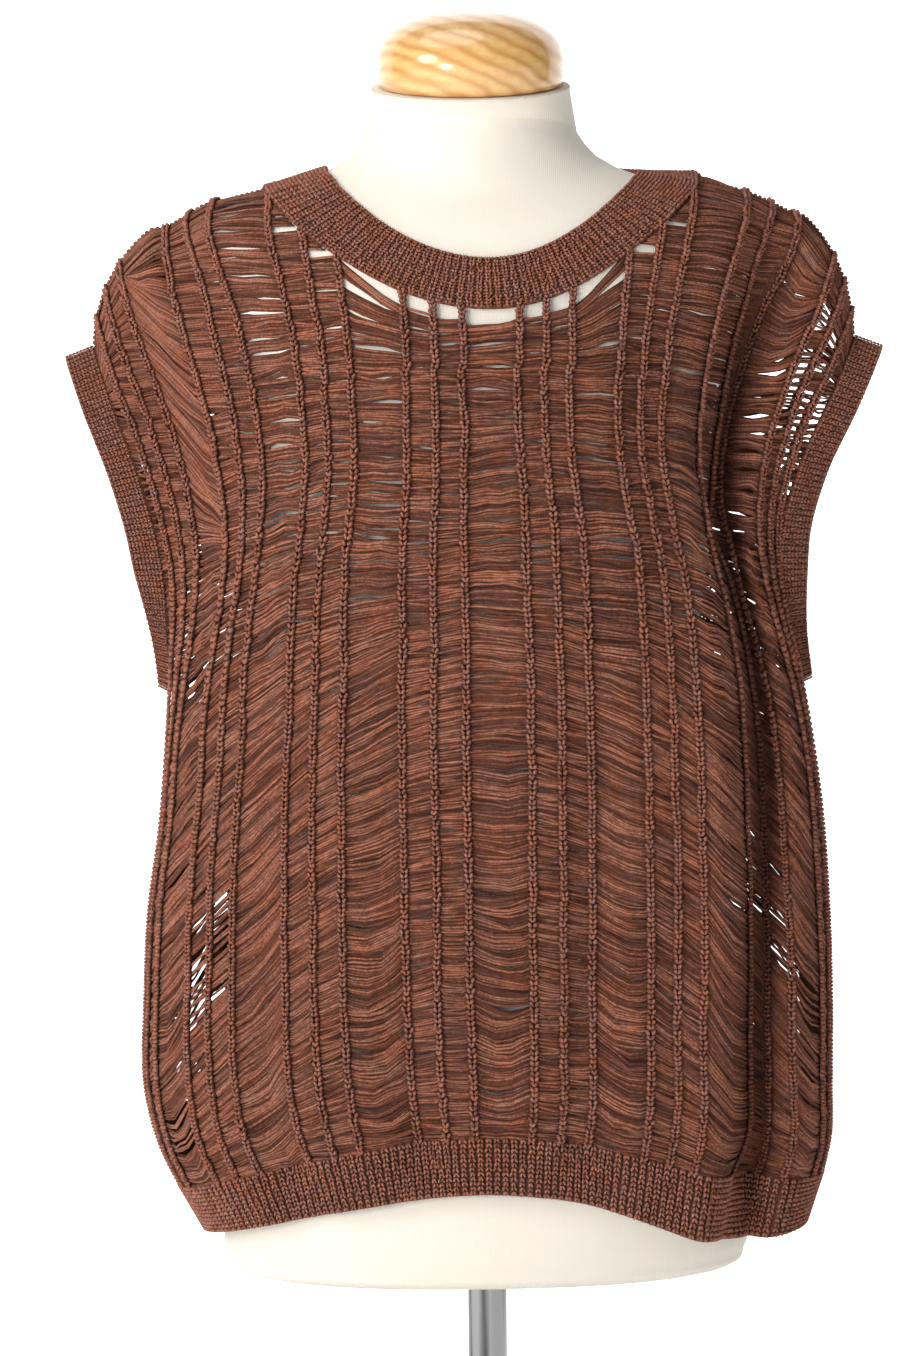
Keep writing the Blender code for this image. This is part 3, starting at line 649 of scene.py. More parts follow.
def stitch_column(strands, line, outs, places, half, thick, tone, rng, shape=LEG, hands=(-1, 1)):
    """The legs or the bar of each stitch between the points of a column."""
    count = len(line) - 1
    stitches = np.arange(count)
    half = np.broadcast_to(half, count).reshape(-1, 1, 1)
    thick = np.broadcast_to(thick, count).reshape(-1, 1, 1)
    across = unit(np.cross(outs, np.gradient(line, axis=0)))
    steps, sideways, lifts, thicks = (np.array([station[k] for station in shape]) for k in range(4))
    at = stitches[:, None] + steps
    middle, out, side = between(line, at), unit(between(outs, at)), unit(between(across, at))
    map_at = between(places, at)
    for hand in hands:
        loose = rng.normal(0, LEG_STRAYS, (count, 1, 1)) * half
        centres = middle + side * (hand * sideways[:, None] * half + loose)
        centres = centres + out * lifts[:, None] * thick
        way = unit(centres[:, 2] - centres[:, 1])[:, None]
        cross = unit(np.cross(way, out))
        ring = []
        for station in (1, 2):
            radius = thick[:, 0] * thicks[station]
            for angle in (90, 210, 330):
                turn = math.radians(angle)
                offset = out[:, station] * math.sin(turn) + cross[:, station] * math.cos(turn) * 1.1
                ring.append(centres[:, station] + offset * radius)
        points = np.stack([centres[:, 0], *ring, centres[:, 3]], axis=1)
        shade = tone * rng.uniform(*LEG_SHADES, (count, 1)) * LEG_PAINTED_SHADING
        spots = np.repeat(map_at, (1, 3, 3, 1), axis=1)
        strands.add(points, shade, spots, LEG_FACES)


# ---- the panels --------------------------------------------------------------------------------
def chain_list():
    """Places of the chain columns across a panel."""
    half = PANEL_WIDTH / 2
    return [
        (2 * group + 1) / GROUPS - 1 + (chain - 1) * CHAIN_PITCH / half
        for group in range(GROUPS)
        for chain in range(CHAINS_IN_GROUP)
    ]


def on_map(across, share):
    """Places on a panel's texture map, which is its flat cut."""
    return np.stack([(across + 1) / 2, share], axis=-1)


def wander(number, share):
    """How far a chain column strays sideways, as a share of half a panel."""
    if number is None:
        return 0 * share
    slow = noise(SEED + number, 0.5, share * 22)
    quick = noise(SEED + number, 5.5, share * 90)
    return 0.0024 * slow + 0.0011 * quick


def make_chains(panel, material):
    """The chain columns, and a plain seam column along each side and each shoulder."""
    rng = np.random.default_rng(SEED + panel.side)
    strands = Strands()

    def lay(across, share, tone, raised=0.0004):
        outs = panel.out(across, share)
        line = panel.at(across, share) + outs * raised
        stitch_column(strands, line, outs, on_map(across, share), CHAIN_HALF, LEG_THICK, tone, rng)

    for number, place in enumerate(chain_list()):
        top = float(neckline(panel.side, place))
        share = np.linspace(0, top, int(COURSES * top) + 1)
        across = place + wander(number, share)
        lay(across, share, CHAIN_TONE * painted_fold_shade(panel.side, across, share)[:-1, None])
    if panel.side < 0:
        for edge in (-1, 1):
            share = np.linspace(0, UNDERARM, int(COURSES * UNDERARM) + 1)
            lay(np.full_like(share, edge * 0.997), share, SEAM_TONE)
            across = edge * np.linspace(NECK_HALF_SHARE + 0.01, 0.995, 50)
            lay(across, np.full_like(across, 0.998), SEAM_TONE, -SEAM_SUNK)
    return strands.make(panel.name + "_chains", material)


class Ladder:
    """The loose strands between two chain columns, or between one and the edge of a panel."""

    def __init__(self, panel, number, low, high):
        self.panel, self.number = panel, number
        (self.left, self.low), (self.right, self.high) = low, high
        self.middle = (self.low + self.high) / 2
        self.narrow = self.high - self.low < 1.3 * CHAIN_PITCH / (PANEL_WIDTH / 2)
        self.seed = SEED + 100 + number + 50 * (panel.side > 0)
        self.rng = np.random.default_rng(self.seed)
        tops = neckline(panel.side, np.linspace(self.low, self.high, 9))
        self.least, self.most = tops.min(), tops.max()
        self.cut_by_neck = self.least < 0.999 and abs(self.middle) > 0.3
        self.under_neck = self.least < 0.999 and not self.cut_by_neck
        gap = NECK_GAP if panel.side < 0 else BACK_NECK_GAP
        self.top = self.least - gap if self.under_neck else min(self.most, 1.0)
        self.partings = self.find_partings()
        self.shares = np.linspace(0, 1, 60)
        low_end, high_end = (panel.at(place, self.shares)[:, 2] for place in (self.low, self.high))
        climb = np.gradient((low_end + high_end) / 2, self.shares * PANEL_LENGTH)
        self.rises = (high_end - low_end) / np.maximum(climb, 0.35)

    def zones(self, table):
        """The rest of each row of a table whose side and places across take in this ladder."""
        for side, first, last, *rest in table:
            if side == self.panel.side and first <= self.middle <= last:
                yield rest

    def find_partings(self):
        """Middles in metres up the ladder and places in it, half widths, heights and slants."""
        rng, scale = self.rng, 0.8 if self.narrow else 1.0
        found = [
            (rng.uniform(0, PANEL_LENGTH), rng.uniform(0, 1), rng.uniform(0.12, 0.7),
             0.0004 + 0.0013 * rng.uniform() ** 2, rng.normal(0, 0.0024) * scale)
            for _ in range(int(BUNDLES * PANEL_LENGTH))
        ]
        for low, high, rate, least, most in self.zones(SLIT_ZONES):
            count = int(rate * (high - low) * PANEL_LENGTH * (2.4 if self.narrow else 1))
            for k in range(count):
                share = low + (high - low) * (k + rng.uniform(0.3, 0.7)) / count
                if self.narrow and noise(self.seed, 60.5, share * 17) < -0.1:
                    continue
                height = (least + (most - least) * rng.uniform() ** 1.6) * scale
                centre, half = rng.uniform(0.2, 0.8), rng.uniform(0.25, 0.5)
                found.append((share * PANEL_LENGTH, centre, half, height, rng.normal(0, 0.0014)))
        return sorted(found)

    def courses(self, in_course):
        """The strands' courses, as shares of the length, with some left out in the thin zones."""
        count = COURSES * in_course
        course = (np.arange(count) + 0.5) / count
        if self.cut_by_neck and self.narrow and self.panel.side < 0:
            course = course[np.abs(course - self.least - 0.003) > NECK_HOLE]
        row = np.arange(len(course))
        for low, high, thin, left, of in self.zones(THIN_ZONES):
            inside = (course > low) & (course < high)
            inside = inside & (0.5 + 0.8 * noise(self.seed, 70.5, course * 70) < thin)
            kept = ~inside | ((in_course > 1) & (row % of < left))
            course, row = course[kept], row[kept]
        return course[course < self.top][:, None]

    def hang(self, share, t):
        """How far strands lie above their course for their sag, slope and bunching, in metres."""
        metres = share * PANEL_LENGTH
        scale = 0.36 if self.narrow else 1.0
        skew = 1 + 0.42 * noise(self.seed, 30.5, metres / 0.045)
        bow = np.sin(math.pi * t**skew)
        deep = HEM_SAG * (1 - soft_step(share, 0.10, 0.42))
        deep = deep * (0.68 + 0.32 * noise(self.seed, 40.5, metres / 0.03))
        fall = column(SIDE_FALL, 1, share) * soft_step(abs(self.middle), 0.2, 0.5)
        for low, high, sag, raised in self.zones(SLACK):
            slack = soft_span(share, low, high, 0.14, 0.07)
            deep = deep + sag * slack
            fall = fall - raised * slack
        total = -(0.0005 + deep * metres / (metres + 0.02)) * bow
        total = total - np.sign(self.middle) * fall * (t - 0.5)
        total = total + 0.0034 * noise(self.seed, 0.5, metres / 0.05) * (t - 0.5) * 2
        wave = 0.0011 * noise(self.seed, 10.5 + t * (1 if self.narrow else 2.4), metres / 0.005)
        kink = 0.0011 + 0.10 * deep + 0.06 * np.abs(fall)
        kink = kink * noise(self.seed, 20.5 + t * (1 if self.narrow else 4.5), metres / 0.011)
        total = (total + (wave + kink) * np.sin(math.pi * t)) * scale * soft_step(1 - share, 0, 0.020)
        level = soft_step(share, *LEVEL_FROM) * (1 - soft_step(share, *LEVEL_UNTIL))
        return total - level * np.interp(share, self.shares, self.rises) * (t - 0.5)

    def part(self, metres, t):
        """How far the partings push strands along the ladder, and how much painted shade lies beside
        them.
        """
        shift = np.zeros((len(metres), t.shape[1]))
        shade = np.zeros_like(shift)
        for middle, centre, half, height, slant in self.partings:
            low, high = np.searchsorted(metres[:, 0], (middle - 0.016, middle + 0.016))
            away = metres[low:high] - middle
            lens = bell((t - centre) / half)
            near = np.exp(-np.abs(away) / 0.004)
            shift[low:high] += lens * near * (np.sign(away) * height / 2 + slant * (t - centre))
            dark = lens * bell(away / 0.0011) * min(height / 0.001, 1)
            dark = dark * (1 if height < 0.0018 else 0.45)
            shade[low:high] = np.maximum(shade[low:high], dark)
        return shift, shade

    def read(self, course, t):
        """Places across, shares of the length, and shade beside partings at the strands' points, which
        sinks the floats and is painted into their tone.
        """
        start = self.low + wander(self.left, course)
        end = self.high + wander(self.right, course)
        tuck = FLOAT_TUCK / 2 / (PANEL_WIDTH / 2)
        start = start - (tuck if self.left is not None else 0)
        end = end + (tuck if self.right is not None else 0)
        if self.cut_by_neck:
            drop = FRONT_NECK_DROP if self.panel.side < 0 else BACK_NECK_DROP
            edge = NECK_HALF_SHARE * np.sqrt(np.clip(1 - ((1 - course) / drop) ** 2, 0, 1)) + tuck
            if self.middle > 0:
                start = np.maximum(start, edge)
            else:
                end = np.minimum(end, -edge)
        across = start + (end - start) * t
        shift, shade = self.part(course * PANEL_LENGTH, t)
        if not self.under_neck:
            shift = shift * soft_step(self.top - course, 0, 0.030)
        share = course + (self.hang(course, t) + shift) / PANEL_LENGTH
        if self.under_neck:
            reach = max(0.05, 2 * (self.most - self.least))
            pull = soft_step(course, self.least - reach, self.least)
            share = share + pull * (neckline(self.panel.side, across) - self.least)
            if not self.narrow and self.panel.side < 0 and abs(self.middle) > 0.15:
                lift = soft_step(course, self.top - 0.010, self.top - 0.006) * NECK_GAP
                share = share + lift * (t if self.middle > 0 else 1 - t) ** 1.5
        return across, np.minimum(share, LAST_SHARE), shade

    def places(self, steps):
        """Places along a strand, closer together towards its ends."""
        return (0.5 - 0.5 * np.cos(np.linspace(0, math.pi, steps + 1)))[None]


def make_ladders(panel):
    borders = [(None, -1.0), *enumerate(chain_list()), (None, 1.0)]
    return [Ladder(panel, k, borders[k], borders[k + 1]) for k in range(len(borders) - 1)]


def ribbon_faces(steps, lanes):
    """Faces of a ribbon with a number of lanes, its points in rows of lanes + 1."""
    row = lanes + 1
    return [
        (step * row + lane, (step + 1) * row + lane, (step + 1) * row + lane + 1, step * row + lane + 1)
        for step in range(steps)
        for lane in range(lanes)
    ]


def up_the_cloth(centres, outs):
    """Directions square to strands and to the cloth's directions outwards."""
    return -unit(np.cross(outs, unit(np.gradient(centres, axis=1))))


def float_tones(ladder, metres, rng):
    """The floats' tones: patches, bundles, some darker ones with painted shade as if they lay deeper,
    and each a little different.
    """
    each = (len(metres), 1)
    patch = 0.10 * noise(SEED + 300 + ladder.number, 0.5, metres / 0.016)
    bundle = 0.14 * noise(SEED + 400 + ladder.number, 0.5, metres / 0.0045)
    dark = rng.uniform(0.25, 0.55, each) * (rng.uniform(size=each) < SHADED_FLOATS)
    return FLOAT_TONE + patch + bundle - dark + rng.uniform(-0.14, 0.18, each)


def make_floats(panel, ladders, material):
    """Loose strands across every ladder, as ridged ribbons."""
    rng = np.random.default_rng(SEED + 7 * panel.side + 20)
    strands = Strands()
    for ladder in ladders:
        steps = NARROW_STEPS if ladder.narrow else WIDE_STEPS
        course = ladder.courses(FLOATS_IN_COURSE)
        notch = (np.arange(len(course)) % FLOATS_IN_COURSE)[:, None]
        kept = rng.uniform(size=len(course)) > MISSING
        course, notch = course[kept], notch[kept]
        count = len(course)
        t = ladder.places(steps)
        across, share, shade = ladder.read(course, t)
        span = np.sin(math.pi * t)
        lean = rng.normal(0, 0.00045, (count, 1)) * (t - 0.5) * 2
        share = share + (rng.normal(0, 0.00034, (count, 1)) * span + lean) / PANEL_LENGTH
        from_chain = np.minimum(t, 1 - t) * (ladder.high - ladder.low) * PANEL_WIDTH / 2
        notch = notch * bell(from_chain / SHADED_NOTCH_REACH)
        outs = panel.out(across, share)
        metres = course * PANEL_LENGTH
        swell = 0.0007 * noise(ladder.seed, 50.5 + t, metres / 0.009)
        depth = (rng.normal(0, 0.00026, (count, 1)) + swell) * span
        depth = depth - 0.0003 - 0.0006 * shade - 0.0007 * notch
        centres = panel.at(across, share) + outs * depth[..., None]
        tilt = rng.normal(0, 0.40, (count, 1, 1))
        flat = up_the_cloth(centres, outs) * np.cos(tilt) + outs * np.sin(tilt)
        flat = flat * (FLOAT_WIDTH / 2 * (0.8 + 0.2 * span)[..., None])
        points = np.stack([centres - flat, centres + outs * FLOAT_RAISE, centres + flat], axis=2)
        points = points.reshape(count, -1, 3)
        tone = float_tones(ladder, metres, rng)
        # painted shade: floats darken towards their ends by the chains, beside partings and in the
        # notches
        tone = tone * (0.62 + 0.38 * span**0.5) * (1 - GAP_SHADE * shade) * (1 - GAP_SHADE * notch)
        tone = tone * painted_fold_shade(panel.side, across, share)
        tone = tone[..., None] * np.array(FLOAT_EDGE_SHADING)
        places = np.repeat(on_map(across, share), 3, axis=1)
        strands.add(points, tone.reshape(count, -1), places, (ribbon_faces(steps, 2),))
    return strands.make(panel.name + "_floats", material)


def make_shade_layer(panel, ladders, material):
    """A layer of painted shade: dark flat strands beneath the floats, close together, that fill the
    gaps between them.
    """
    strands = Strands()
    for ladder in ladders:
        steps = UNDER_NARROW_STEPS if ladder.narrow else UNDER_WIDE_STEPS
        course = ladder.courses(1)
        t = ladder.places(steps)
        across, share, _ = ladder.read(course, t)
        outs = panel.out(across, share)
        centres = panel.at(across, share) - outs * UNDER_DEPTH
        up = up_the_cloth(centres, outs)
        points = np.stack([centres - up * UNDER_WIDTH / 2, centres + up * UNDER_WIDTH / 2], axis=2)
        points = points + np.array([0, 0.0003])[:, None] * outs[:, :, None]
        places = np.repeat(on_map(across, share), 2, axis=1)
        tones = np.full((1, points.shape[1] * 2), SHADE_LAYER_TONE)
        strands.add(points.reshape(len(course), -1, 3), tones, places, (ribbon_faces(steps, 1),))
    return strands.make(panel.name + "_under", material)


# ---- the bands ---------------------------------------------------------------------------------
class Band:
    """A strip between a closed seam line and a free edge, read by shares round and along it."""

    def __init__(self, line, free, outs):
        steps = np.linalg.norm(np.diff(line, axis=0, append=line[:1]), axis=1)
        self.run = np.concatenate(([0], np.cumsum(steps)))
        self.line, self.free, self.outs = line, free, outs
        self.draw = np.linalg.norm(np.diff(free, axis=0, append=free[:1]), axis=1).sum() / self.run[-1]
        own = unit(np.cross(ring_turns(free), free - line))
        self.own = own * np.sign((own * outs).sum(axis=-1, keepdims=True))

    def read(self, values, round_):
        around = np.concatenate([values, values[:1]])
        at = np.mod(round_, 1.0) * self.run[-1]
        return np.stack([np.interp(at, self.run, around[:, k]) for k in range(3)], axis=-1)

    def at(self, round_, along):
        round_, along = np.broadcast_arrays(round_, along)
        share = along[..., None]
        points = self.read(self.line, round_) * (1 - share) + self.read(self.free, round_) * share
        outs = unit(self.read(self.outs, round_) * (1 - share) + self.read(self.own, round_) * share)
        return points, outs


def make_band(name, band, ribs, stitches, purls, material):
    """A ribbed band: a waved shell, a column of stitches on each rib, and the purls between ribs."""
    rng = np.random.default_rng(SEED + len(name))
    shell, strands = Strands(), Strands()
    around = ribs * 4
    round_ = np.arange(around) / around
    crest = np.cos(2 * math.pi * ribs * round_)
    profile = [(along, 1, 1) for along in np.linspace(-0.03, 0.97, 7)]
    profile += [(1.0, 0.5, 0.6), (1.0, -0.5, 0.3), (0.97, -1, 0)]
    profile += [(along, -1, 0) for along in (0.65, 0.3, -0.03)]
    rings = []
    for along, side, share in profile:
        points, outs = band.at(round_, along)
        raised = side * SHELL_HALF + share * RIB_WAVE * (crest - 0.6) / 2
        rings.append(points + outs * raised[:, None])
    rows = len(rings)
    # painted shade: the shell is dark, as in the shade between the stitches, and darker still in the
    # valleys between the ribs
    tones = np.tile(0.42 + 0.20 * crest, (rows, 1)).reshape(1, -1)
    places = ring_map(round_, np.linspace(0, 1, rows))
    shell.add(np.stack(rings).reshape(1, -1, 3), tones, places, (wall_faces(rows, around, True),))
    along = np.linspace(-0.02, 1.0, stitches + 1)
    pitch = band.run[-1] / ribs * (1 - (1 - band.draw) * along[:-1])
    thick = np.minimum(0.21 * pitch, 0.0011)
    for rib in range(ribs):
        knit = (rib / ribs, 0.5 * RIB_WAVE, 0.30 * pitch, LEG, (-1, 1), RIB_TONES[0])
        purl = ((rib + 0.5) / ribs, -0.8 * RIB_WAVE, 0.26 * pitch, BAR, (1,), RIB_TONES[1])
        for place, raise_, half, shape, hands, tone in ((knit, purl) if purls else (knit,)):
            points, outs = band.at(np.full(stitches + 1, place), along)
            line = points + outs * (0.0004 + raise_)
            spots = np.stack([np.full_like(along, place % 1), np.clip(along, 0, 1)], axis=1)
            stitch_column(strands, line, outs, spots, half, thick, tone, rng, shape, hands)
    return shell.make(name + "_knit", material), strands.make(name + "_stitches", material)


def there_and_back(first, second):
    """One closed line of the front's values and then the back's, which run the same way."""
    return np.concatenate([first, second[-2:0:-1]])


def neck_band(front, back):
    """The neckline as one closed line, with its free edge and its directions outwards."""
    across = NECK_HALF_SHARE * np.sin(np.linspace(-math.pi / 2, math.pi / 2, 121))
    inner = across * NECK_INNER_SHARE / NECK_HALF_SHARE
    halves = []
    for panel in (front, back):
        share = neckline(panel.side, across)
        free = panel.at(inner, neckline(panel.side, inner, inner=True))
        halves.append((panel.at(across, share), free, panel.out(across, share)))
    return Band(*(there_and_back(*pair) for pair in zip(*halves)))


def hem_band(front, back):
    """The hem as one closed line, with its free edge and its directions outwards."""
    across = np.linspace(-1, 1, 161)
    line = there_and_back(front.at(across, 0.0), back.at(across, 0.0))
    outs = there_and_back(front.out(across, 0.0), back.out(across, 0.0))
    free = line * np.array([1, HEM_DRAW_IN_DEPTH, 1]) - np.array([0, 0, HEM_HEIGHT])
    free[:, 0] *= np.where(line[:, 0] < 0, *HEM_DRAW_IN)
    free[:, 2] += HEM_SIDE_LIFT * (line[:, 0] / line[:, 0].max()) ** 2
    free[:, 2] -= CORNER_LONGER * hem_corner(line[:, 0]) * soft_step(-line[:, 1], 0, 0.05)
    return Band(line, lifted(free, HEM_CLEAR), outs)


def arm_band(front, back, edge):
    """The armhole from the underarm up the front edge, over the shoulder and down the back edge."""
    shares = np.linspace(UNDERARM, 1, 60)
    line = there_and_back(front.at(edge, shares), back.at(edge, shares))
    cloth = there_and_back(front.out(edge, shares), back.out(edge, shares))
    rise = (there_and_back(shares, shares) - UNDERARM) / (1 - UNDERARM)
    turn = np.radians(ARMBAND_LEAN_LOW + (ARMBAND_LEAN_HIGH - ARMBAND_LEAN_LOW) * rise**0.5)
    lean = np.stack([edge * np.sin(turn), -ARMBAND_CLOSE * line[:, 1], np.cos(turn)], axis=1)
    width = ARMBAND_WIDTH * (0.45 + 0.55 * soft_step(rise, 0, 0.35))
    free = line + width[:, None] * unit(lean)
    own = unit(np.cross(lean, ring_turns(line))) * edge
    return Band(line, free, unit(cloth + own))


# ---- the form and its cap ----------------------------------------------------------------------
FORM_SIDES = 96
NECK_CENTRE = np.array([0, NECK_CENTRE_Y, NECK_TOP])
LEAN = np.array(Matrix.Rotation(NECK_TILT, 3, "X"))


def leant_ring(angles, radius, height, centre):
    """A circle at a height over a point, leant forwards as the top of the neck is."""
    flat = [radius * np.cos(angles), radius * np.sin(angles), np.full_like(angles, height)]
    return np.stack(flat, axis=1) @ LEAN.T + centre


def loft(name, rings, material):
    """A closed surface through rings of points, with a map round it and up it."""
    count, sides = rings.shape[:2]
    strands = Strands()
    foot = np.arange(sides)[::-1]
    top = np.arange(sides) + (count - 1) * sides
    faces = (wall_faces(count, sides, False), foot[None], top[None])
    places = ring_map(np.abs(np.linspace(-1, 1, sides, endpoint=False)), np.linspace(0, 1, count))
    strands.add(rings.reshape(1, -1, 3), np.full((1, count * sides), 0.5), places, faces)
    return strands.make(name, material)


def make_form(material):
    """The padded form in its jersey cover, which is turned over the edge of the neck's top."""
    angles = np.linspace(0, 2 * math.pi, FORM_SIDES, endpoint=False)
    last = FORM_RINGS[-1][0]
    heights = np.concatenate([np.linspace(FORM_FOOT, 0.24, 12), np.linspace(0.246, last, 90)])
    rings = [form_points(angles, height) for height in heights]
    top = leant_ring(angles, NECK_RADIUS, 0, NECK_CENTRE)
    neck = rings[-1]
    for share in np.linspace(0, 1, 9)[1:]:
        rings.append(neck * (1 - share) + top * share)
    for share, drop in ((1.012, 0.0012), (1.008, 0.0004), (0.985, 0.0), (0.90, 0.0)):
        rings.append(leant_ring(angles, share * NECK_RADIUS, -drop, NECK_CENTRE))
    return loft("form_cover", np.array(rings), material)


def make_cap(material):
    """A turned wooden knob: upright side, rounded shoulder and a low dome."""
    angles = np.linspace(0, 2 * math.pi, FORM_SIDES, endpoint=False)
    profile = [(0.30, 0.0), (0.93, 0.0), (0.975, 0.0012), (1.0, 0.004)]
    profile += [(1.0, CAP_SIDE * share) for share in (0.5, 0.8, 1.0)]
    for rise in np.linspace(0, math.pi / 2, 22)[1:-1]:
        profile.append((math.cos(rise) ** 0.8, CAP_SIDE + CAP_DOME * math.sin(rise)))
    seat = NECK_CENTRE + LEAN @ np.array([0, 0, SEAT])
    rings = [leant_ring(angles, share * CAP_RADIUS, height, seat) for share, height in profile]
    return loft("wooden_cap", np.array(rings), material)


# ---- materials ---------------------------------------------------------------------------------
# linear colours of a strand's dark, usual and light parts, and dashes across and up the map
CHAIN_YARN = ((0.018, 0.0062, 0.0044), (0.186, 0.067, 0.044), (0.38, 0.152, 0.104), (420, 480))
FLOAT_YARN = ((0.018, 0.0062, 0.0042), (0.202, 0.071, 0.044), (0.41, 0.162, 0.100), (70, 850))
RIB_YARN = ((0.018, 0.0066, 0.0048), (0.232, 0.086, 0.057), (0.43, 0.180, 0.124), (900, 40))
# roughness, its spread, the fineness of the streaks, and their dark and light greys; on the chrome the
# upright streaks are painted reflections, on the steel a fine brushing
CHROME = (0.07, 0.10, 110.0, 0.05, 0.36)
STEEL = (0.28, 0.16, 900.0, 0.56, 0.62)


class Nodes:
    """A tree of nodes, with short calls to add to it."""

    def __init__(self, owner):
        owner.use_nodes = True
        self.tree = owner.node_tree

    def node(self, kind, links=None, **values):
        made = self.tree.nodes.new("ShaderNode" + kind)
        for key, value in values.items():
            if key in made.inputs:
                made.inputs[key].default_value = value
            else:
                setattr(made, key, value)
        for key, source in (links or {}).items():
            self.tree.links.new(source, made.inputs[key])
        return made

    def spread(self, value, low, high, at_low, at_high):
        """A value that runs from low to high, made to run between two others."""
        ends = {"From Min": low, "From Max": high, "To Min": at_low, "To Max": at_high}
        return self.node("MapRange", {"Value": value}, **ends).outputs["Result"]

    def ramp(self, factor, *stops):
        """A colour ramp: stops of place and linear colour."""
        made = self.tree.nodes.new("ShaderNodeValToRGB")
        self.tree.links.new(factor, made.inputs["Fac"])
        elements = made.color_ramp.elements
        while len(elements) < len(stops):
            elements.new(0.5)
        for element, (place, colour) in zip(elements, stops):
            element.position = place
            element.color = (*colour, 1)
        return made.outputs["Color"]


class Shade(Nodes):
    """A material with a Principled shader."""

    def __init__(self, name, roughness, metallic=0.0, specular=0.5):
        self.material = bpy.data.materials.new(name)
        super().__init__(self.material)
        self.shader = self.tree.nodes["Principled BSDF"]
        self.set({"Roughness": roughness, "Metallic": metallic, "Specular IOR Level": specular})
        self.where = self.node("TexCoord").outputs["Object"]

    def set(self, looks):
        for name, value in looks.items():
            self.shader.inputs[name].default_value = value

    def link(self, source, target):
        self.tree.links.new(source, self.shader.inputs[target])

    def grain(self, vector, scale, detail, **look):
        """Noise from 0 to 1."""
        made = self.node("TexNoise", {"Vector": vector}, Scale=scale, Detail=detail, **look)
        return made.outputs["Fac"]

    def turned(self, vector, **look):
        """Places, scaled, turned or moved."""
        return self.node("Mapping", {"Vector": vector}, **look).outputs["Vector"]

    def bump(self, height, strength, distance):
        made = self.node("Bump", {"Height": height}, Strength=strength, Distance=distance)
        self.link(made.outputs["Normal"], "Normal")


def yarn_material(name, dark, middle, light, dashes):
    """Soft dull yarn: each strand's tone, broken by dashes, fuzz and warm or greyish patches."""
    shade = Shade(name, 0.9, specular=0.15)
    # the tone attribute carries the strands' random tones and the painted shade laid on them
    value = shade.node("Attribute", attribute_name="tone").outputs["Fac"]
    along = shade.turned(shade.node("UVMap", uv_map="OFBake").outputs["UV"], Scale=(*dashes, 1))
    streaks = shade.grain(along, 1.0, 2.0, Roughness=0.6)
    fuzz = shade.grain(shade.where, 1100.0, 2.0, Roughness=0.7)
    for grain, low, high in ((streaks, 0.62, 1.34), (fuzz, 0.72, 1.26)):
        share = shade.spread(grain, 0.3, 0.7, low, high)
        value = shade.node("Math", {0: value, 1: share}, operation="MULTIPLY").outputs["Value"]
    colour = shade.ramp(value, (0.0, dark), (0.55, middle), (1.0, light))
    patches = shade.grain(shade.where, 75.0, 2.0)
    hues = shade.ramp(patches, (0.35, (0.90, 1.02, 1.10)), (0.65, (1.0, 0.93, 0.84)))
    mixed = shade.node("Mix", data_type="RGBA", blend_type="MULTIPLY", Factor=1.0)
    shade.tree.links.new(colour, mixed.inputs["A"])
    shade.tree.links.new(hues, mixed.inputs["B"])
    shade.link(mixed.outputs["Result"], "Base Color")
    shade.set({"Sheen Weight": 0.12, "Sheen Roughness": 0.5, "Sheen Tint": (0.55, 0.27, 0.19, 1)})
    shade.bump(fuzz, 0.45, 0.0004)
    return shade.material


def jersey_material():
    """Cream jersey with fine upright wales and a little pilling."""
    shade = Shade("cream jersey", 0.9, specular=0.2)
    wales = shade.node("TexWave", {"Vector": shade.where}, wave_type="BANDS",
                       bands_direction="X", Scale=260.0, Distortion=1.2, Detail=2.0)
    wales.inputs["Detail Scale"].default_value = 3.0
    patches = shade.grain(shade.where, 40.0, 4.0)
    mix = shade.node("Mix", {0: patches, 2: wales.outputs["Fac"]}, data_type="FLOAT")
    mix.inputs[3].default_value = 0.6
    colour = shade.ramp(mix.outputs[0], (0.0, (0.80, 0.735, 0.63)), (1.0, (0.895, 0.835, 0.74)))
    shade.link(colour, "Base Color")
    shade.set({"Sheen Weight": 0.15})
    shade.bump(wales.outputs["Fac"], 0.25, 0.0004)
    return shade.material


def pine_material():
    """Varnished pine, with slanting arcs of darker grain."""
    shade = Shade("varnished pine", 0.28, specular=0.5)
    turned = shade.turned(shade.where, Rotation=(0.35, 0.25, 0.45), Location=(0.05, 0.02, -0.98),
                          Scale=(1.0, 0.8, 1.6))
    rings = shade.node("TexWave", {"Vector": turned}, wave_type="RINGS",
                       rings_direction="Y", Scale=26.0, Distortion=3.5, Detail=3.0)
    rings.inputs["Detail Scale"].default_value = 1.4
    fine = shade.grain(turned, 180.0, 5.0)
    mix = shade.node("Math", {0: rings.outputs["Fac"], 1: fine}, operation="MULTIPLY_ADD")
    mix.inputs[2].default_value = 0.15
    colour = shade.ramp(mix.outputs["Value"], (0.05, (0.58, 0.27, 0.075)), (0.35, (0.76, 0.42, 0.14)),
                        (0.8, (0.86, 0.55, 0.22)))
    shade.link(colour, "Base Color")
    shade.set({"Coat Weight": 0.8, "Coat Roughness": 0.08})
    return shade.material


def metal_material(name, roughness, spread, streaks, dark, light):
    """Polished or satin metal with fine scratches and upright streaks, which on the chrome are painted
    dark reflections.
    """
    shade = Shade(name, roughness, metallic=1.0)
    stretched = shade.turned(shade.where, Scale=(1.0, 1.0, 0.04))
    fine = shade.grain(stretched, 900.0, 3.0)
    shade.link(shade.spread(fine, 0.0, 1.0, roughness, roughness + spread), "Roughness")
    # upright streaks in the colour: painted reflections on the chrome, a fine brushing on the steel
    upright = shade.grain(stretched, streaks, 1.0)
    colour = shade.ramp(upright, (0.42, (dark,) * 3), (0.58, (light,) * 3))
    shade.link(colour, "Base Color")
    return shade.material


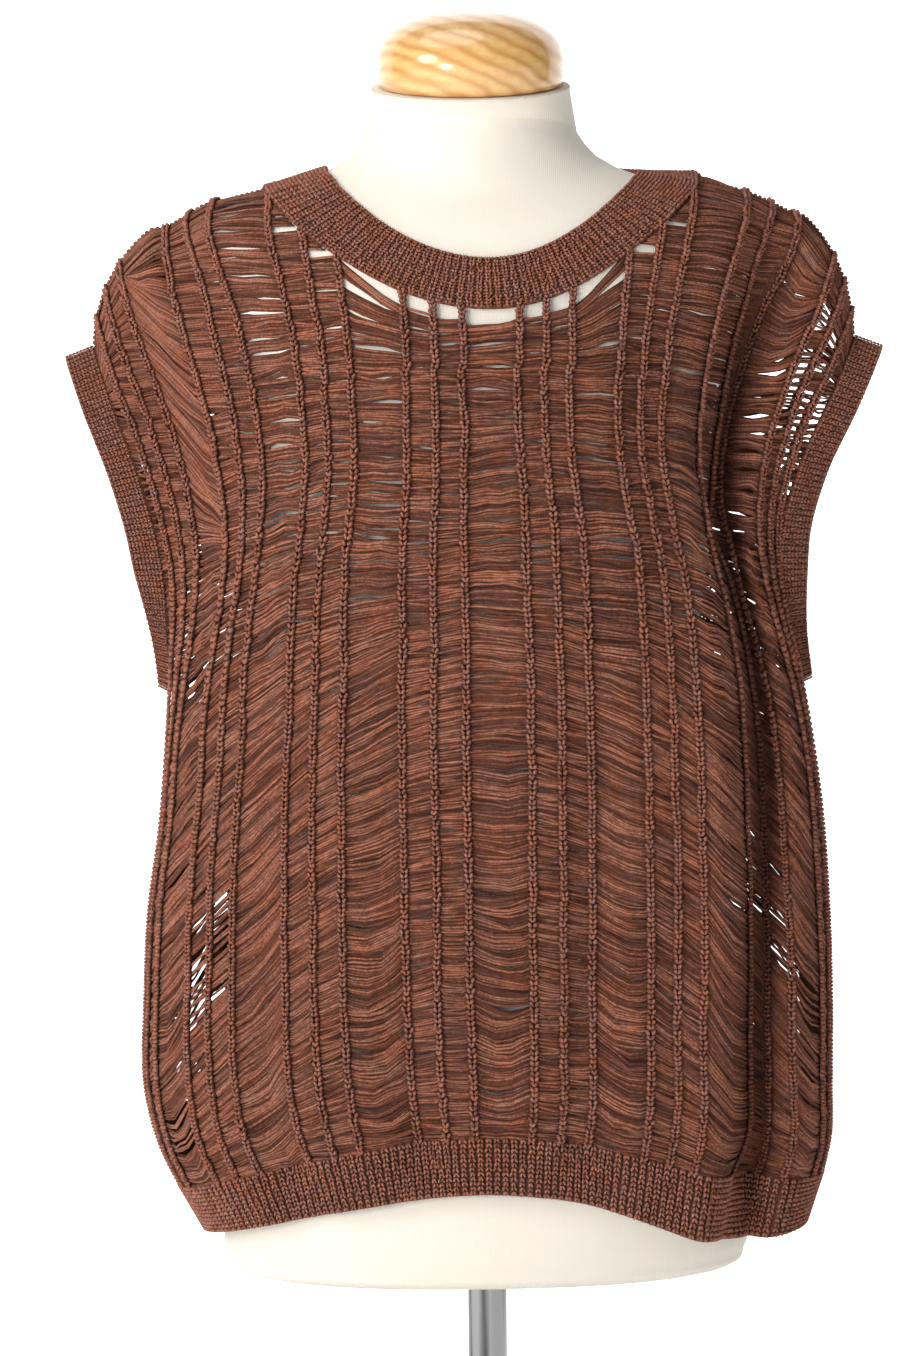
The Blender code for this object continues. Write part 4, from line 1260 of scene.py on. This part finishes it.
# ---- the stage ---------------------------------------------------------------------------------
# lamps: name, place, width, power
LAMPS = (
    ("key", (-2.2, -1.7, 1.9), 1.3, 38),
    ("front", (-1.1, -2.0, 0.82), 0.5, 21),
    ("top", (-0.4, -0.3, 2.6), 1.4, 10),
)
LAMPS_AIM = Vector((0, 0, 0.6))
SWEEP_DROP = 0.0005         # the sweep lies this much under the base
SWEEP_HALF_WIDTH = 8.0
SWEEP_NEAR = -9.0
SWEEP_BEND = 2.0            # where the floor ends and turns up to the wall
SWEEP_RADIUS = 1.2
SWEEP_TOP = 6.0


def make_stage():
    """A white sweep that glows at its rear and away from the part, and soft lights."""
    shade = Shade("white sweep", 0.9, specular=0.0)
    shade.set({"Base Color": (0.92, 0.92, 0.92, 1), "Emission Color": (1, 1, 1, 1)})
    split = shade.node("SeparateXYZ", {"Vector": shade.where})
    rear = shade.spread(split.outputs["Y"], 0.2, 0.7, 0.25, 1.0)
    flat = shade.turned(shade.where, Scale=(1, 1, 0))
    away = shade.node("VectorMath", {"Vector": flat}, operation="LENGTH")
    ring = shade.spread(away.outputs["Value"], 1.0, 2.6, 0.25, 0.85)
    both = shade.node("Math", {0: rear, 1: ring}, operation="MAXIMUM")
    shade.link(both.outputs["Value"], "Emission Strength")
    profile = [(SWEEP_NEAR, 0.0), (SWEEP_BEND, 0.0)]
    for turn in np.linspace(0, math.pi / 2, 9)[1:]:
        back = SWEEP_BEND + SWEEP_RADIUS * math.sin(turn)
        profile.append((back, SWEEP_RADIUS - SWEEP_RADIUS * math.cos(turn)))
    profile.append((SWEEP_BEND + SWEEP_RADIUS, SWEEP_TOP))
    edges = (-SWEEP_HALF_WIDTH, SWEEP_HALF_WIDTH)
    points = [(x, y, z - SWEEP_DROP) for y, z in profile for x in edges]
    faces = [(2 * k, 2 * k + 1, 2 * k + 3, 2 * k + 2) for k in range(len(profile) - 1)]
    mesh = bpy.data.meshes.new("sweep")
    mesh.from_pydata(points, [], faces)
    mesh.shade_smooth()
    mesh.materials.append(shade.material)
    sweep = new_object("sweep", mesh)

    make_studio_light()
    for name, place, size, power in LAMPS:
        lamp = bpy.data.lights.new(name, "AREA")
        lamp.shape = "DISK"
        lamp.size = size
        lamp.energy = power
        light = new_object(name, lamp)
        light.location = place
        light.rotation_euler = (LAMPS_AIM - Vector(place)).to_track_quat("-Z", "Y").to_euler()


def make_studio_light():
    """A room that is pale in front and behind and darker at both sides, and white to the eye."""
    world = bpy.data.worlds.new("studio")
    bpy.context.scene.world = world
    room = Nodes(world)
    where = room.node("TexCoord").outputs["Generated"]
    split = room.node("SeparateXYZ", {"Vector": where})
    size = room.node("Math", {0: split.outputs["X"]}, operation="ABSOLUTE")
    greys = room.ramp(size.outputs["Value"], (0.45, (0.22,) * 3), (0.75, (0.04,) * 3))
    seen = room.node("LightPath").outputs["Is Camera Ray"]
    mix = room.node("Mix", {"Factor": seen, "A": greys}, data_type="RGBA", B=(1, 1, 1, 1))
    background = room.tree.nodes["Background"]
    background.inputs["Strength"].default_value = 1.0
    room.tree.links.new(mix.outputs["Result"], background.inputs["Color"])


def make_camera():
    """The photo's camera, as far as the picture tells it."""
    camera = bpy.data.cameras.new("camera")
    camera.lens = 85
    camera.sensor_fit = "VERTICAL"
    camera.sensor_height = 36
    thing = new_object("camera", camera)
    thing.location = (-0.017, -2.05, 0.585)
    thing.rotation_euler = (math.radians(90), math.radians(0.8), 0)
    bpy.context.scene.camera = thing
    bpy.context.scene.view_settings.view_transform = "Standard"


# ---- everything --------------------------------------------------------------------------------
def main():
    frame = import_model()
    make_stage()
    make_camera()

    chain_yarn = yarn_material("chain yarn", *CHAIN_YARN)
    float_yarn = yarn_material("float yarn", *FLOAT_YARN)
    rib_yarn = yarn_material("rib yarn", *RIB_YARN)
    front, back = Panel(-1), Panel(1)
    for panel in (front, back):
        ladders = make_ladders(panel)
        chains = make_chains(panel, chain_yarn)
        floats = make_floats(panel, ladders, float_yarn)
        # a dark layer of painted shade beneath the floats, which casts no shadow of its own
        under = make_shade_layer(panel, ladders, float_yarn)
        under.visible_shadow = False
        for piece in (chains, floats, under):
            ride_as(piece, "knit", panel.name)

    bands = (
        ("neckband", neck_band(front, back), NECK_RIBS, 16, True, NECKBAND_WIDTH),
        ("hem_rib", hem_band(front, back), HEM_RIBS, 12, False, HEM_HEIGHT),
        ("armband_right_hand", arm_band(front, back, -1.0), ARMBAND_RIBS, 8, True, ARMBAND_WIDTH),
        ("armband_left_hand", arm_band(front, back, 1.0), ARMBAND_RIBS, 8, True, ARMBAND_WIDTH),
    )
    for node, band, ribs, stitches, purls, width in bands:
        shell, columns = make_band(node, band, ribs, stitches, purls, rib_yarn)
        ride_as(shell, "rib", node)
        ride_as(columns, "rib", node)

    ride_as(make_form(jersey_material()), "jersey", "form_body")
    ride_as(make_cap(pine_material()), "pine", "neck_cap")
    for node, material in (
        ("pole", metal_material("polished chrome", *CHROME)),
        ("base", metal_material("satin steel", *STEEL)),
    ):
        for slot in frame["nodes"][node].material_slots:
            slot.material = material


main()
